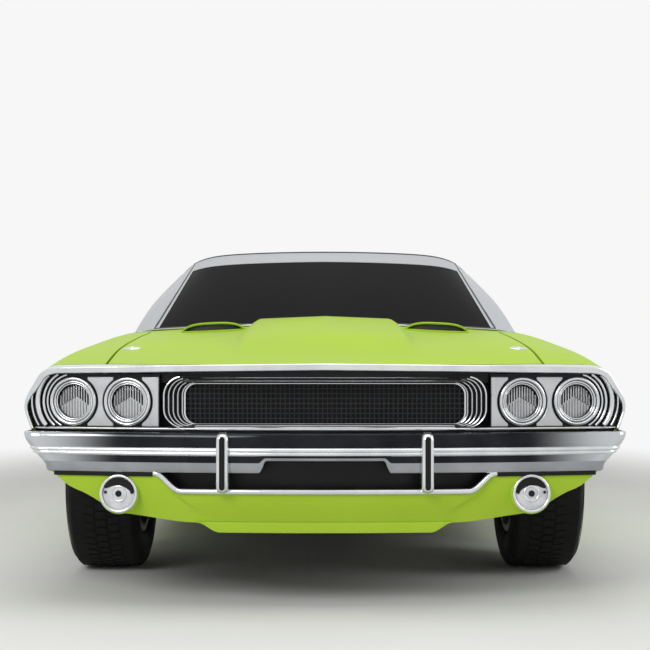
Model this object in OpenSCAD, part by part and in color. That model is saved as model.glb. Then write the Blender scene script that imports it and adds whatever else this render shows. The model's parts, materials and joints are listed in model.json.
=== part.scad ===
// Two-door hardtop muscle car, parked on its wheels.
// Front towards -Y, +Z up, origin on the ground under the middle of the car. Millimetres.

/* [Overall] */
// Width over the wheel arches
car_width = 1930; // [1900:5:1960]
// Distance between front and rear wheel centres
wheelbase = 2800; // [2760:5:2840]
// Front wheel centre behind the front of the car
front_overhang = 950; // [930:5:980]
// Rear wheel centre ahead of the back of the car
rear_overhang = 1110; // [1080:5:1140]
// Height of the body's belt above the tyres
belt_rise = 255; // [240:1:275]
// Height of the roof's crown above the belt
roof_rise = 365; // [345:1:385]
// Wheel centre planes inside the widest point of the body
wheel_inset = 180; // [174:1:188]

/* [Wheels] */
// Outer diameter of the tyres
tyre_d = 670; // [650:2:690]
// Width of the tyres
tyre_w = 265; // [250:1:275]
// Bead seat diameter of the rims
rim_d = 386; // [376:1:396]
// Gap between the tyres and the wheel arches
arch_gap = 43; // [38:1:50]
// Diameter of the spindles that carry the wheels
spindle_d = 40; // [36:1:44]
// Slots in each wheel disc
wheel_slots = 5; // [5:1:8]

/* [Panels] */
// Thickness of fenders, quarters and other sheet panels
panel_t = 6; // [5:0.5:7]
// Thickness of the hood and trunk lid with their inner frames
lid_t = 24; // [23:0.5:26]
// Thickness of the roof with its lining
roof_t = 26; // [22:1:30]
// Thickness of the window glass
glass_t = 6; // [5:0.5:8]
// Shut line between a moving panel and its neighbour
panel_gap = 9; // [9:0.5:11]
// Height of the raised centre of the hood
bulge_h = 32; // [20:1:40]
// Height of the hood scoops
scoop_h = 46; // [40:1:52]

/* [Front] */
// Diameter of the headlamp bezels
lamp_d = 154; // [146:1:158]
// Diameter of the turn lamps
turn_d = 108; // [100:1:114]
// Height of the front bumper blade
bumper_h = 122; // [114:1:128]
// Width of each bumper guard
guard_w = 38; // [32:1:44]

/* [Hidden] */
$fn = 48;

// Clearance where one fixed piece is seated on another
seat_gap = 0.3;
// Radial clearance of a pin or spindle in its bore
run_gap = 0.06;
// Length by which a joined shape reaches into its neighbour
sink = 4;

half_w = car_width / 2;
car_length = front_overhang + wheelbase + rear_overhang;
belt_z = tyre_d + belt_rise;
car_height = belt_z + roof_rise;
arch_r = tyre_d / 2 + arch_gap;
// Height that the body's up shares are taken of, and the belt's share of it
belt_share = 0.717;
level_h = belt_z / belt_share;
// The waist's rounded corner lies just inside its control point
waist_share = 1.0072;
body_half = half_w * waist_share;
front_y = -car_length / 2;
front_axle_y = front_y + front_overhang;
rear_axle_y = front_axle_y + wheelbase;
wheel_z = tyre_d / 2;
wheel_x = half_w - wheel_inset;

// Body stations: share of the length, then across and up shares of sill, flank, waist,
// shoulder and top edge, and the up share of the centre line.
body_shares = [
  [0.0330, 0.881, 0.349, 0.948, 0.403, 0.990, 0.490, 0.917, 0.575, 0.715, 0.583, 0.589],
  [0.1030, 0.885, 0.330, 0.952, 0.392, 0.995, 0.487, 0.922, 0.609, 0.725, 0.626, 0.640],
  [0.1955, 0.912, 0.194, 0.969, 0.310, 1.000, 0.482, 0.924, 0.637, 0.734, 0.659, 0.682],
  [0.2980, 0.912, 0.171, 0.964, 0.295, 0.993, 0.473, 0.917, 0.665, 0.746, 0.686, 0.709],
  [0.3910, 0.907, 0.167, 0.962, 0.279, 0.987, 0.459, 0.904, 0.682, 0.829, 0.695, 0.720],
  [0.5140, 0.907, 0.167, 0.964, 0.279, 0.987, 0.456, 0.899, 0.690, 0.829, 0.700, 0.720],
  [0.6170, 0.910, 0.171, 0.969, 0.287, 0.993, 0.465, 0.893, 0.702, 0.829, 0.710, 0.730],
  [0.7000, 0.917, 0.186, 0.974, 0.302, 1.000, 0.488, 0.886, 0.717, 0.815, 0.727, 0.745],
  [0.7720, 0.917, 0.209, 0.974, 0.318, 1.000, 0.504, 0.879, 0.721, 0.720, 0.741, 0.752],
  [0.8640, 0.902, 0.233, 0.964, 0.333, 0.990, 0.508, 0.865, 0.715, 0.684, 0.742, 0.757],
  [0.9380, 0.881, 0.264, 0.948, 0.364, 0.972, 0.508, 0.852, 0.702, 0.684, 0.732, 0.748],
  [0.9750, 0.860, 0.295, 0.927, 0.388, 0.951, 0.504, 0.841, 0.690, 0.684, 0.722, 0.738]];
// Roundness of the section's corners
corner_shares = [0, 0.5, 0.3, 0.28, 0.5];
bend_steps = 3;
side_steps = 6;
top_steps = 3;
arch_steps = 12;

// Stations of the panel edges along the car
hood_rear_share = 0.2995;
door_front_share = 0.3333;
door_rear_share = 0.5926;
lid_front_share = 0.8025;
lid_rear_share = 0.9660;
tail_share = 0.9750;
firewall_share = 0.3025;
bulkhead_share = 0.7060;

front_axle_share = 0.195473;
rear_axle_share = 0.771605;
middle_share = rear_axle_share - front_axle_share;
tail_end_share = 1 - rear_axle_share;
function at_y(s) = s < front_axle_share ? front_y + s / front_axle_share * front_overhang
  : s < rear_axle_share ? front_axle_y + (s - front_axle_share) / middle_share * wheelbase
  : rear_axle_y + (s - rear_axle_share) / tail_end_share * rear_overhang;
function at_s(y) = y < front_axle_y ? (y - front_y) / front_overhang * front_axle_share
  : y < rear_axle_y ? front_axle_share + (y - front_axle_y) / wheelbase * middle_share
  : rear_axle_share + (y - rear_axle_y) / rear_overhang * tail_end_share;
function lerp(a, b, u) = a + (b - a) * u;
function ease(u) = let(v = min(1, max(0, u))) v * v * (3 - 2 * v);
function slope(i) = let(n = len(body_shares) - 1, a = body_shares[max(i - 1, 0)],
  b = body_shares[min(i + 1, n)]) (b - a) / (b[0] - a[0]);
function station(s) = let(n = len(body_shares) - 2,
  i = max([0, for (k = [0:n]) if (body_shares[k][0] <= s) k]),
  a = body_shares[i], b = body_shares[i + 1], h = b[0] - a[0],
  u = min(1, max(0, (s - a[0]) / h)))
  a * (2 * u ^ 3 - 3 * u ^ 2 + 1) + slope(i) * h * (u ^ 3 - 2 * u ^ 2 + u)
  + b * (3 * u ^ 2 - 2 * u ^ 3) + slope(i + 1) * h * (u ^ 3 - u ^ 2);
function controls(s) = let(r = station(s))
  [for (k = [0:4]) [r[1 + 2 * k] * body_half, r[2 + 2 * k] * level_h], [0, r[11] * level_h]];
function bend(c, i, u) = let(k = corner_shares[i], p = lerp(c[i], c[i - 1], k),
  q = lerp(c[i], c[i + 1], k)) lerp(lerp(p, c[i], u), lerp(c[i], q, u), u);
function section(s) = let(c = controls(s))
  [c[0], for (i = [1:4]) for (j = [0:bend_steps]) bend(c, i, j / bend_steps), c[5]];
function side_x(q, z) = lookup(z, [for (i = [0:3 * bend_steps + 3]) [q[i][1], q[i][0]]]);
function top_z(q, x) = lookup(abs(x), [for (i = [2 * bend_steps + 3:len(q) - 1]) [q[i][0], q[i][1]]]);
function edge_x(y) = station(at_s(y))[9] * body_half;
function deck_z(x, y) = top_z(section(at_s(y)), x);

// Lower edge of the body side, open over the wheels
function low_z(y) = let(base = station(at_s(y))[2] * level_h, f = abs(y - front_axle_y),
  r = abs(y - rear_axle_y), d = min(f, r))
  d < arch_r ? max(base, wheel_z + sqrt(arch_r ^ 2 - d ^ 2)) : base;
// One row of body side points from its lower edge up over the shoulder to x_end
function side_row(y, low, x_end) = let(q = section(at_s(y)), k = 2 * bend_steps + 3,
  a = q[k], b = q[k + bend_steps]) [
  for (i = [0:side_steps - 1]) let(z = lerp(low, a[1], i / side_steps)) [side_x(q, z), y, z],
  for (j = [0:bend_steps]) [q[k + j][0], y, q[k + j][1]],
  for (i = [1:top_steps]) let(x = lerp(b[0], x_end, i / top_steps)) [x, y, top_z(q, x)]];
// The same rows moved inward by t
function thin(rows, t) = [for (r = rows) let(n = len(r) - 1) [for (j = [0:n])
  let(a = r[max(j - 1, 0)], b = r[min(j + 1, n)], d = [b[0] - a[0], b[2] - a[2]])
  r[j] + t * [-d[1], 0, d[0]] / norm(d)]];
function full(row) = concat(row, [for (i = [len(row) - 2:-1:0]) [-row[i][0], row[i][1], row[i][2]]]);
function first(row, n) = [for (j = [0:n]) row[j]];

// Closed solid between an outer and an inner grid of points
module shell(o, n) {
  r = len(o);
  c = len(o[0]);
  s = r * c;
  pts = concat([for (row = o) each row], [for (row = n) each row]);
  skin = [for (i = [0:r - 2]) for (j = [0:c - 2]) let(a = i * c + j, b = a + 1, d = a + c, e = d + 1)
    each [[a, b, e], [a, e, d], [a + s, e + s, b + s], [a + s, d + s, e + s]]];
  sides = [for (i = [0:r - 2]) let(a = i * c, d = a + c, b = a + c - 1, e = d + c - 1)
    each [[a, d, d + s], [a, d + s, a + s], [e, b, b + s], [e, b + s, e + s]]];
  ends = [for (j = [0:c - 2]) let(a = j, b = j + 1, d = (r - 1) * c + j, e = d + 1)
    each [[b, a, a + s], [b, a + s, b + s], [d, e, e + s], [d, e + s, d + s]]];
  polyhedron(points = pts, faces = concat(skin, sides, ends), convexity = 6);
}
// Closed solid through a list of equal loops of points
module loft(loops) {
  r = len(loops);
  c = len(loops[0]);
  skin = [for (i = [0:r - 2]) for (j = [0:c - 1]) let(a = i * c + j, b = i * c + (j + 1) % c)
    each [[a, b, b + c], [a, b + c, a + c]]];
  caps = [[for (j = [c - 1:-1:0]) j], [for (j = [0:c - 1]) (r - 1) * c + j]];
  polyhedron(points = [for (l = loops) each l], faces = concat(skin, caps), convexity = 6);
}
module both() {
  children();
  mirror([1, 0, 0]) children();
}
module box(lo, hi) {
  translate(lo) cube(hi - lo);
}
// Bar along the car with a flat section given as across and up
module along(y0, y1, pts) {
  translate([0, y1, 0]) rotate([90, 0, 0]) linear_extrude(y1 - y0) polygon(pts);
}
// Plate across the car with an outline given as along and up
module across(x0, x1, pts) {
  translate([x0, 0, 0]) rotate([90, 0, 90]) linear_extrude(x1 - x0) polygon(pts);
}

// Nose
nose_set = 90;
nose_sweep = 130;
frame_depth = 45;
frame_t = 25;
nose_clear = 5;
function face_y(x) = front_y + nose_set + nose_sweep * (x / half_w) ^ 2;
// Lamp and grille opening hangs below the frame's top; the bumper lies below its ledge
nose_top = body_shares[0][10] * level_h;
nose_gap = 7;
lamp_rim = 6;
panel_h = lamp_d + lamp_rim;
ledge_t = 7.7;
grille_z = nose_top - frame_t - nose_gap - panel_h;
ledge_z = grille_z - seat_gap - ledge_t;
bumper_out = 18;
bumper_t = 16;
bumper_gap = 3;
bumper_z = ledge_z - bumper_gap - bumper_h;
function bumper_y(x) = front_y + bumper_out + nose_sweep * (x / half_w) ^ 2;

// Body shell levels
floor_share = 0.1667;
floor_z = floor_share * level_h;
floor_t = 20;
sill_h = 85;
sill_top = floor_z + sill_h;
shelf_gap = 30;
shelf_z = tyre_d + shelf_gap;
shelf_t = 15;
pillar_in = 265;
pillar_x = half_w - pillar_in;
door_depth = 193;
door_in_x = half_w - door_depth;
cowl_t = 24;
pillar_back = 15;
door_y0 = at_y(door_front_share);
door_y1 = at_y(door_rear_share);
fender_back = door_y0 - panel_gap;
quarter_front = door_y1 + panel_gap;
cowl_y = at_y(hood_rear_share);
lid_gap = 14;
hood_back = cowl_y - lid_gap;
fire_y = at_y(firewall_share);
fire_t = 12;
lid_y0 = at_y(lid_front_share);
lid_y1 = at_y(lid_rear_share);
tail_y = at_y(tail_share);
gutter_d = 40;

function nose_row(k, n, low, mid) = let(base = side_row(face_y(half_w), low, mid ? 0
  : edge_x(face_y(half_w))))
  [for (j = [0:len(base) - 1]) let(x = base[j][0],
    y = lerp(face_y(x) + frame_depth + nose_clear, front_axle_y - arch_r, k / n))
    side_row(y, low, mid ? 0 : edge_x(y))[j]];
function hung(row, z) = concat(row, [[row[len(row) - 1][0], row[len(row) - 1][1], z]]);
nose_steps = 3;
nose_end_share = 0.9;
frame_low = bumper_z + bumper_h + 2 * seat_gap;
fender_rows = concat(
  [for (k = [0:nose_steps - 1]) hung(nose_row(k, nose_steps, k == 0 ? frame_low : bumper_z, false),
    shelf_z + shelf_t + seat_gap)],
  [for (y = [for (a = [0:arch_steps]) front_axle_y - arch_r * cos(180 * a / arch_steps),
    (front_axle_y + arch_r + fender_back) / 2, fender_back])
    hung(side_row(y, max(low_z(y), y < front_axle_y - arch_r * nose_end_share ? bumper_z : 0),
      edge_x(y)), shelf_z + shelf_t + seat_gap)]);
module fenders() {
  color([0.66, 0.81, 0.22]) both() shell(fender_rows, thin(fender_rows, panel_t));
}

quarter_row_shares = [0, 0.2, 0.6];
quarter_ys = concat([for (u = quarter_row_shares) lerp(quarter_front, rear_axle_y - arch_r, u)],
  [for (a = [0:arch_steps]) rear_axle_y - arch_r * cos(180 * a / arch_steps)],
  [for (k = [1:3]) lerp(rear_axle_y + arch_r, tail_y, k / 3)]);
quarter_rows = [for (y = quarter_ys) let(r = side_row(y, low_z(y), edge_x(y))) hung(r,
  r[len(r) - 1][2] - gutter_d)];

// Inner outline of the quarters at the tail
tail_t = 34;
tail_up = 143;
tail_low = wheel_z + tail_up;
function tail_outline(t) = [for (p = thin([full(side_row(tail_y, tail_low, 0))], t)[0]) [p[0], p[2]]];
// Top edge of the quarters, straight between their rows
function quarter_edge(y) = lookup(y, [for (r = quarter_ys) [r, edge_x(r)]]);

// Roof
rail_inset = 275;
rail_x = half_w - rail_inset;
roof_front_share = 0.4530;
roof_rear_share = 0.6340;
roof_crown_share = 0.5350;
roof_front = at_y(roof_front_share);
roof_rear = at_y(roof_rear_share);
roof_crown = at_y(roof_crown_share);
roof_fall = 26;
roof_bow = 60;
crown_drop = 30;
edge_drop = 95;
roof_cols_shares = [1, 0.97, 0.93, 0.88, 0.78, 0.6, 0.3, 0];
roof_steps = 7;
function roof_z(x, y) = let(u = abs(x) / rail_x, v = (y - roof_crown) / (roof_rear - roof_crown))
  car_height - roof_fall * v ^ 2 - crown_drop * u ^ 2 - edge_drop * u ^ 10;
function roof_y0(x) = roof_front + roof_bow * (x / rail_x) ^ 2;
function roof_y1(x) = roof_rear + roof_bow / 2 * (x / rail_x) ^ 2;
// Inner lower edge of the roof's side rail
function rail_low(y) = let(x1 = rail_x * roof_cols_shares[1], dz = roof_z(x1, y) - roof_z(rail_x, y),
  dx = x1 - rail_x)
  [rail_x - roof_t * dz / norm([dx, dz]), roof_z(rail_x, y) + roof_t * dx / norm([dx, dz])];

// Sail panels: share along the car, share across at that station
sail_t = 40;
sail_low_shares = [[0.6650, 1.010], [0.7200, 1.010], [0.7620, 1.006], [0.7980, 1.000], [0.7960, 0.930]];
sail_top_shares = [[0.6230, 1], [0.6290, 1], [0.6330, 0.995], [0.6370, 0.99], [0.6395, 0.945]];
sail_in_shares = [[1, -0.35], [1, 0], [0.87, 0.3], [0.75, 0.6], [0.3, 0.9]];
sail_weld_share = 0.7000;
sail_steps = 4;
module sail() {
  low = [for (p = sail_low_shares) let(y = at_y(p[0]), x = edge_x(y) * p[1])
    [x, y, deck_z(x, y) + (p[0] < sail_weld_share ? -sink : 9 * seat_gap)]];
  top = [for (p = sail_top_shares) let(y = at_y(p[0]), r = rail_low(y)) [r[0] * p[1], y, r[1] - seat_gap]];
  o = [for (j = [0:4]) [for (i = [0:sail_steps]) lerp(low[j], top[j], i / sail_steps)]];
  n = [for (j = [0:4]) [for (p = o[j]) p - sail_t * [sail_in_shares[j][0], sail_in_shares[j][1], 0]]];
  shell(o, n);
}
module quarters() {
  color([0.66, 0.81, 0.22]) both() {
    difference() {
      shell(quarter_rows, thin(quarter_rows, panel_t));
      along(tail_y - tail_t - seat_gap, tail_y + sink, tail_outline(panel_t + seat_gap / 2));
    }
    sail();
  }
}

// Windshield pillars stand on the cowl and carry the roof
pillar_low_shares = [[0.3310, 0.762], [0.3310, 0.828], [0.3235, 0.828], [0.3270, 0.770]];
pillar_top_shares = [[0.4700, 0.922], [0.4700, 0.985], [0.4590, 0.985], [0.4640, 0.922]];
module roof() {
  rows = [for (k = [0:roof_steps]) full([for (c = roof_cols_shares) let(x = c * rail_x,
    y = lerp(roof_y0(x), roof_y1(x), k / roof_steps)) [x, y, roof_z(x, y)]])];
  color([0.86, 0.87, 0.88]) {
    shell(rows, thin(rows, roof_t));
    both() loft([
      [for (p = pillar_low_shares) let(y = at_y(p[0]), x = p[1] * half_w) [x, y, deck_z(x, y) + seat_gap]],
      [for (p = pillar_top_shares) let(y = at_y(p[0]), r = rail_low(y)) [r[0] * p[1], y, r[1]
        - seat_gap]]]);
  }
}

// Raised centre of the hood
bulge_in = 262;
bulge_ease = 60;
bulge_start = 260;
bulge_run = 330;
function bulge(x, y) = bulge_h * (1 - ease((abs(x) - bulge_in) / bulge_ease))
  * ease((y - front_y - bulge_start) / bulge_run);

// Lid hinges: a ring on a bent arm, entered by a pin in the lid
hinge_x = 230;
hinge_b = 45;
hinge_drop = 16;
hinge_pin_r = 5;
hinge_ring_r = 9;
hinge_w = 24;
hinge_leg = 48;
hinge_leg_t = 6;
hinge_reach = 90;
notch_w = 40;
notch_y = 15;
notch_top = 11.5;
hood_axis_y = hood_back - hinge_b;
hood_axis_z = deck_z(hinge_x, hood_axis_y) + bulge(hinge_x, hood_axis_y) - hinge_drop;
lid_axis_y = lid_y0 + hinge_b;
lid_axis_z = deck_z(hinge_x, lid_axis_y) - hinge_drop;
// The arm reaches away from the lid in the direction d, and its foot rises to root below the pin
module lid_arm(y, z, d, root) {
  for (x = [-hinge_x, hinge_x]) translate([x, y, z]) difference() {
    union() {
      rotate([0, 90, 0]) cylinder(r = hinge_ring_r, h = hinge_w, center = true);
      across(-hinge_w / 2, hinge_w / 2, [for (p = [[-hinge_leg_t, 0], [hinge_leg_t, 0],
        [hinge_leg_t, -hinge_leg + hinge_leg_t], [hinge_reach - 2 * hinge_leg_t, -hinge_leg + hinge_leg_t],
        [hinge_reach - 2 * hinge_leg_t, -root], [hinge_reach, -root],
        [hinge_reach, -hinge_leg - hinge_leg_t], [-hinge_leg_t, -hinge_leg - hinge_leg_t]]) [p[0] * d,
          p[1]]]);
    }
    rotate([0, 90, 0]) cylinder(r = hinge_pin_r + run_gap, h = 2 * hinge_w, center = true);
  }
}
module lid_notches(y, z, d) {
  for (x = [-hinge_x, hinge_x]) translate([x, y, z])
    box([-notch_w / 2, min(-notch_y * d, 2 * hinge_b * d), -2 * lid_t],
      [notch_w / 2, max(-notch_y * d, 2 * hinge_b * d), notch_top]);
}
module lid_pins(y, z) {
  for (x = [-hinge_x, hinge_x]) translate([x, y, z]) rotate([0, 90, 0])
    cylinder(r = hinge_pin_r, h = notch_w + 4 * sink, center = true);
}

// Floor, tunnel and walls
trunk_in = 189;
trunk_x = wheel_x - trunk_in;
tunnel_w = 210;
tunnel_top_w = 150;
tunnel_h = 215;
tunnel_z = floor_z + tunnel_h;
floor_top = floor_z + floor_t;
bulk_y = at_y(bulkhead_share);
wall_t = 12;
tunnel_out = [[tunnel_w, floor_top], [tunnel_top_w, tunnel_z], [-tunnel_top_w, tunnel_z],
  [-tunnel_w, floor_top]];
tunnel_in = [[-tunnel_w + floor_t, floor_z], [-tunnel_top_w + floor_t, tunnel_z - floor_t],
  [tunnel_top_w - floor_t, tunnel_z - floor_t], [tunnel_w - floor_t, floor_z]];
pad_x = 600;
pad_ahead_share = 0.345;
pad_behind_share = 0.655;
pad_w = 70;
pad_h = 12;
module floor_pan() {
  color([0.2, 0.2, 0.21]) {
    difference() {
      along(fire_y - wall_t, bulk_y - seat_gap, concat(
        [[pillar_x, floor_z], [pillar_x, floor_top]], tunnel_out,
        [[-pillar_x, floor_top], [-pillar_x, floor_z]], tunnel_in));
      both() box([trunk_x, rear_axle_y - arch_r, 0], [half_w, rear_axle_y, floor_top + floor_t]);
    }
    for (s = [pad_ahead_share, pad_behind_share]) both()
      box([pad_x - pad_w / 2, at_y(s) - pad_w / 2, floor_z - pad_h],
        [pad_x + pad_w / 2, at_y(s) + pad_w / 2, floor_z + sink]);
  }
}
tunnel_gap = [for (p = tunnel_out) p + seat_gap * [sign(p[0]), 1]];
cowl_rear_share = 0.3370;
cowl_cols = 6;
module firewall() {
  rows = [for (k = [0:3]) let(y = lerp(cowl_y, at_y(cowl_rear_share), k / 3), e = edge_x(y) - seat_gap)
    full([for (i = [0:cowl_cols]) let(x = lerp(e, 0, i / cowl_cols)) [x, y, deck_z(x, y)]])];
  top = [for (i = [0:cowl_cols]) let(x = lerp(pillar_x - seat_gap, 0, i / cowl_cols))
    [x, deck_z(x, fire_y) - cowl_t + sink]];
  color([0.62, 0.77, 0.22]) {
    shell(rows, thin(rows, cowl_t));
    along(fire_y, fire_y + fire_t, concat(top, [for (i = [cowl_cols - 1:-1:0]) [-top[i][0], top[i][1]]],
      [[-pillar_x + seat_gap, floor_top + seat_gap]], [for (i = [3:-1:0]) tunnel_gap[i]],
      [[pillar_x - seat_gap, floor_top + seat_gap]]));
    lid_arm(hood_axis_y, hood_axis_z, 1, bulge_h);
  }
}

// Door hinges: pin in the door, arm bent inward round the door's edge
door_pin_r = 6;
door_ring_r = 11;
door_arm_h = 24;
door_arm_t = 9;
door_arm_in = 60;
door_hinge_in = 37;
door_hinge_b = 60;
door_hinge_shares = [0.370, 0.500];
door_notch_h = 38;
door_notch_out = 13;
door_notch_in = 84;
door_axis_x = station(door_front_share)[5] * body_half - door_hinge_in;
door_axis_y = door_y0 + door_hinge_b;
sill_steps = 8;
module body_pillars() {
  k = len(fender_rows) - 1;
  a = fender_rows[k - 1];
  b = lerp(a, fender_rows[k], 1 - pillar_back / (fender_rows[k][0][1] - a[0][1]));
  hp = [for (r = thin([a, b], panel_t + seat_gap)) first(r, side_steps - 2)];
  lp = [for (r = thin([quarter_rows[0], quarter_rows[1]], panel_t + seat_gap)) first(r, side_steps)];
  ys = [fender_back - pillar_back + seat_gap, fender_back + seat_gap / 3,
    for (i = [0:sill_steps]) lerp(fender_back + seat_gap, quarter_front - seat_gap, i / sill_steps)];
  sill = [for (y = ys) let(q = section(at_s(y)), under = y < fender_back + seat_gap / 2 ? 2 * panel_t : 0)
    [for (j = [0:3]) let(z = lerp(low_z(y), sill_top, j / 3)) [side_x(q, z) - under, y, z]]];
  color([0.62, 0.77, 0.22]) both() {
    for (g = [hp, lp, sill]) shell(g, [for (r = g) [for (p = r) [pillar_x + seat_gap, p[1], p[2]]]]);
    for (h = door_hinge_shares) translate([door_axis_x, door_axis_y, h * level_h - door_arm_h / 2])
      difference() {
      union() {
        cylinder(r = door_ring_r, h = door_arm_h);
        box([-door_arm_in - door_arm_t, -door_arm_t, 0], [0, door_arm_t, door_arm_h]);
        box([-door_arm_in - door_arm_t, -door_hinge_b - panel_gap - pillar_back - sink, 0],
          [-door_arm_in + door_arm_t, door_arm_t, door_arm_h]);
      }
      translate([0, 0, -sink]) cylinder(r = door_pin_r + run_gap, h = door_arm_h + 2 * sink);
    }
  }
}

// Engine bay
apron_room = 340;
apron_x = wheel_x - apron_room;
apron_t = 15;
apron_drop = 35;
apron_z = wheel_z - apron_drop;
shelf_in = 185;
shelf_x = half_w - shelf_in;
rad_set = 262;
rad_y = front_y + rad_set;
rad_t = 38;
rail_h = 100;
rad_z = apron_z + rail_h;
rad_side = 85;
rad_open = apron_x - rad_side;
rad_rim = 45;
module engine_bay() {
  color([0.12, 0.12, 0.13]) {
    both() along(rad_y + rad_t - sink, fire_y - seat_gap, [[apron_x, apron_z], [apron_x + apron_t, apron_z],
      [apron_x + apron_t, shelf_z], [shelf_x, shelf_z], [shelf_x, shelf_z + shelf_t],
        [apron_x, shelf_z + shelf_t]]);
    difference() {
      box([-shelf_x, rad_y, rad_z + seat_gap], [shelf_x, rad_y + rad_t, shelf_z + shelf_t]);
      box([-rad_open, rad_y - sink, rad_z + rad_rim], [rad_open, rad_y + rad_t + sink, shelf_z - rad_rim]);
    }
  }
}

// Chassis rails with bumper irons
rail_w = 45;
rail_in = apron_x - rail_w;
rail_front = 200;
iron_t = 40;
iron_up = 20;
iron_z = bumper_z + iron_up;
iron_h = 55;
rear_rail_in = 96;
rear_rail_x = trunk_x - rear_rail_in;
rear_rail_w = 80;
trunk_up = 125;
trunk_z = wheel_z + trunk_up;
trunk_t = 12;
rear_rail_h = 40;
tie_r = 15;
tie_y = 260;
module chassis_rails() {
  y0 = front_y + rail_front;
  yb = bumper_y(apron_x) + bumper_t + 2 * seat_gap;
  ye = rear_bumper_y(rear_rail_x + rear_rail_w) - bumper_t - seat_gap;
  color([0.1, 0.1, 0.11]) both() {
    difference() {
      across(rail_in, apron_x - seat_gap, [[y0, apron_z], [fire_y - seat_gap, apron_z],
        [fire_y - seat_gap, rad_z],
        [y0 + iron_t, rad_z], [y0 + iron_t, iron_z + iron_h], [yb, iron_z + iron_h], [yb, iron_z],
          [y0, iron_z]]);
      translate([rail_in + rail_w / 2, front_y + tie_y + 2 * tie_r, apron_z - sink])
        cylinder(r = tie_r, h = rad_z);
    }
    across(rear_rail_x, rear_rail_x + rear_rail_w, [[bulk_y + wall_t + seat_gap, trunk_z - seat_gap],
      [bulk_y + wall_t + seat_gap, trunk_z - rear_rail_h], [ye, trunk_z - rear_rail_h],
        [ye, trunk_z - seat_gap]]);
  }
}

// Trunk floor, rear bulkhead and shelf
shelf_drop = 75;
shelf_up = belt_z - shelf_drop;
shelf_back_share = 0.7790;
module trunk_floor() {
  color([0.16, 0.16, 0.17]) {
    along(bulk_y, bulk_y + wall_t, concat([[trunk_x, floor_z], [trunk_x, shelf_up], [-trunk_x, shelf_up],
      [-trunk_x, floor_z]],
      [[-tunnel_w, floor_z], [-tunnel_top_w, tunnel_z], [tunnel_top_w, tunnel_z], [tunnel_w, floor_z]]));
    box([-trunk_x, bulk_y + wall_t - sink, shelf_up - wall_t], [trunk_x, at_y(shelf_back_share), shelf_up]);
    box([-trunk_x, bulk_y + wall_t - sink, trunk_z],
      [trunk_x, tail_y - tail_t - seat_gap, trunk_z + trunk_t]);
  }
}

house_in = 65;
house_x = half_w - house_in;
house_t = 9;
house_gap = 8;
module wheelhouses() {
  color([0.1, 0.1, 0.11]) both() difference() {
    translate([trunk_x + seat_gap, rear_axle_y, wheel_z]) rotate([0, 90, 0])
      cylinder(r = arch_r + house_gap + house_t, h = house_x - trunk_x);
    translate([trunk_x + seat_gap + house_t, rear_axle_y, wheel_z]) rotate([0, 90, 0])
      cylinder(r = arch_r + house_gap, h = house_x);
    box([0, rear_axle_y - 2 * arch_r, -wheel_z], [2 * half_w, rear_axle_y + 2 * arch_r, wheel_z
      + wheel_z / 2]);
  }
}

// Deck panel ahead of the trunk lid, tail panel behind it
deck_front_share = 0.7760;
lamp_w = 300;
lamp_h = 88;
lamp_in = 445;
lamp_x = half_w - lamp_in;
lamp_up_share = 0.465;
lamp_up = lamp_up_share * level_h;
lamp_out = 16;
function corner_rect(w, h, r) = [for (i = [0:3]) for (a = [0:5])
  let(t = 90 * i + 18 * a, sx = i == 0 || i == 3 ? 1 : -1, sy = i < 2 ? 1 : -1)
  [sx * (w / 2 - r) + r * cos(t), sy * (h / 2 - r) + r * sin(t)]];
module rear_panels() {
  rows = [for (k = [0:3]) let(y = lerp(at_y(deck_front_share), lid_y0 - lid_gap, k / 3),
    e = quarter_edge(y) - 2 * seat_gap)
    full([for (i = [0:cowl_cols]) let(x = lerp(e, 0, i / cowl_cols)) [x, y, deck_z(x, y)]])];
  color([0.66, 0.81, 0.22]) {
    shell(rows, thin(rows, cowl_t));
    lid_arm(lid_axis_y, lid_axis_z, -1, hinge_leg_t);
    difference() {
      along(tail_y - tail_t, tail_y, tail_outline(panel_t + seat_gap));
      for (x = [-lamp_x, lamp_x]) translate([x, tail_y + sink, lamp_up]) rotate([90, 0, 0])
        linear_extrude(tail_t / 2 + sink) polygon(corner_rect(lamp_w + 2 * seat_gap, lamp_h
          + 2 * seat_gap, tail_t / 2));
    }
  }
}
module tail_lamps() {
  color([0.6, 0.05, 0.05]) for (x = [-lamp_x, lamp_x]) translate([x, tail_y + lamp_out, lamp_up])
    rotate([90, 0, 0])
    linear_extrude(lamp_out + tail_t / 2 - seat_gap) polygon(corner_rect(lamp_w, lamp_h, tail_t / 2));
}

// Front frame round the grille and lamps, with the ledge they stand on
ledge_set = 20;
ledge_in = 40;
ledge_x = half_w - ledge_in;
frame_steps = 10;
module front_frame() {
  rows = [for (d = [0, frame_depth]) let(base = side_row(face_y(half_w), frame_low, 0)) full(
    [for (j = [0:len(base) - 1]) let(y = face_y(base[j][0]) + d) side_row(y, frame_low, 0)[j]])];
  plan = [for (i = [-frame_steps:frame_steps]) let(x = ledge_x * i / frame_steps) [x, face_y(x)
    + ledge_set]];
  color([0.75, 0.76, 0.78]) {
    shell(rows, thin(rows, frame_t));
    translate([0, 0, ledge_z]) linear_extrude(ledge_t)
      polygon(concat(plan, [[shelf_x, rad_y - seat_gap], [-shelf_x, rad_y - seat_gap]]));
  }
}

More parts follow.
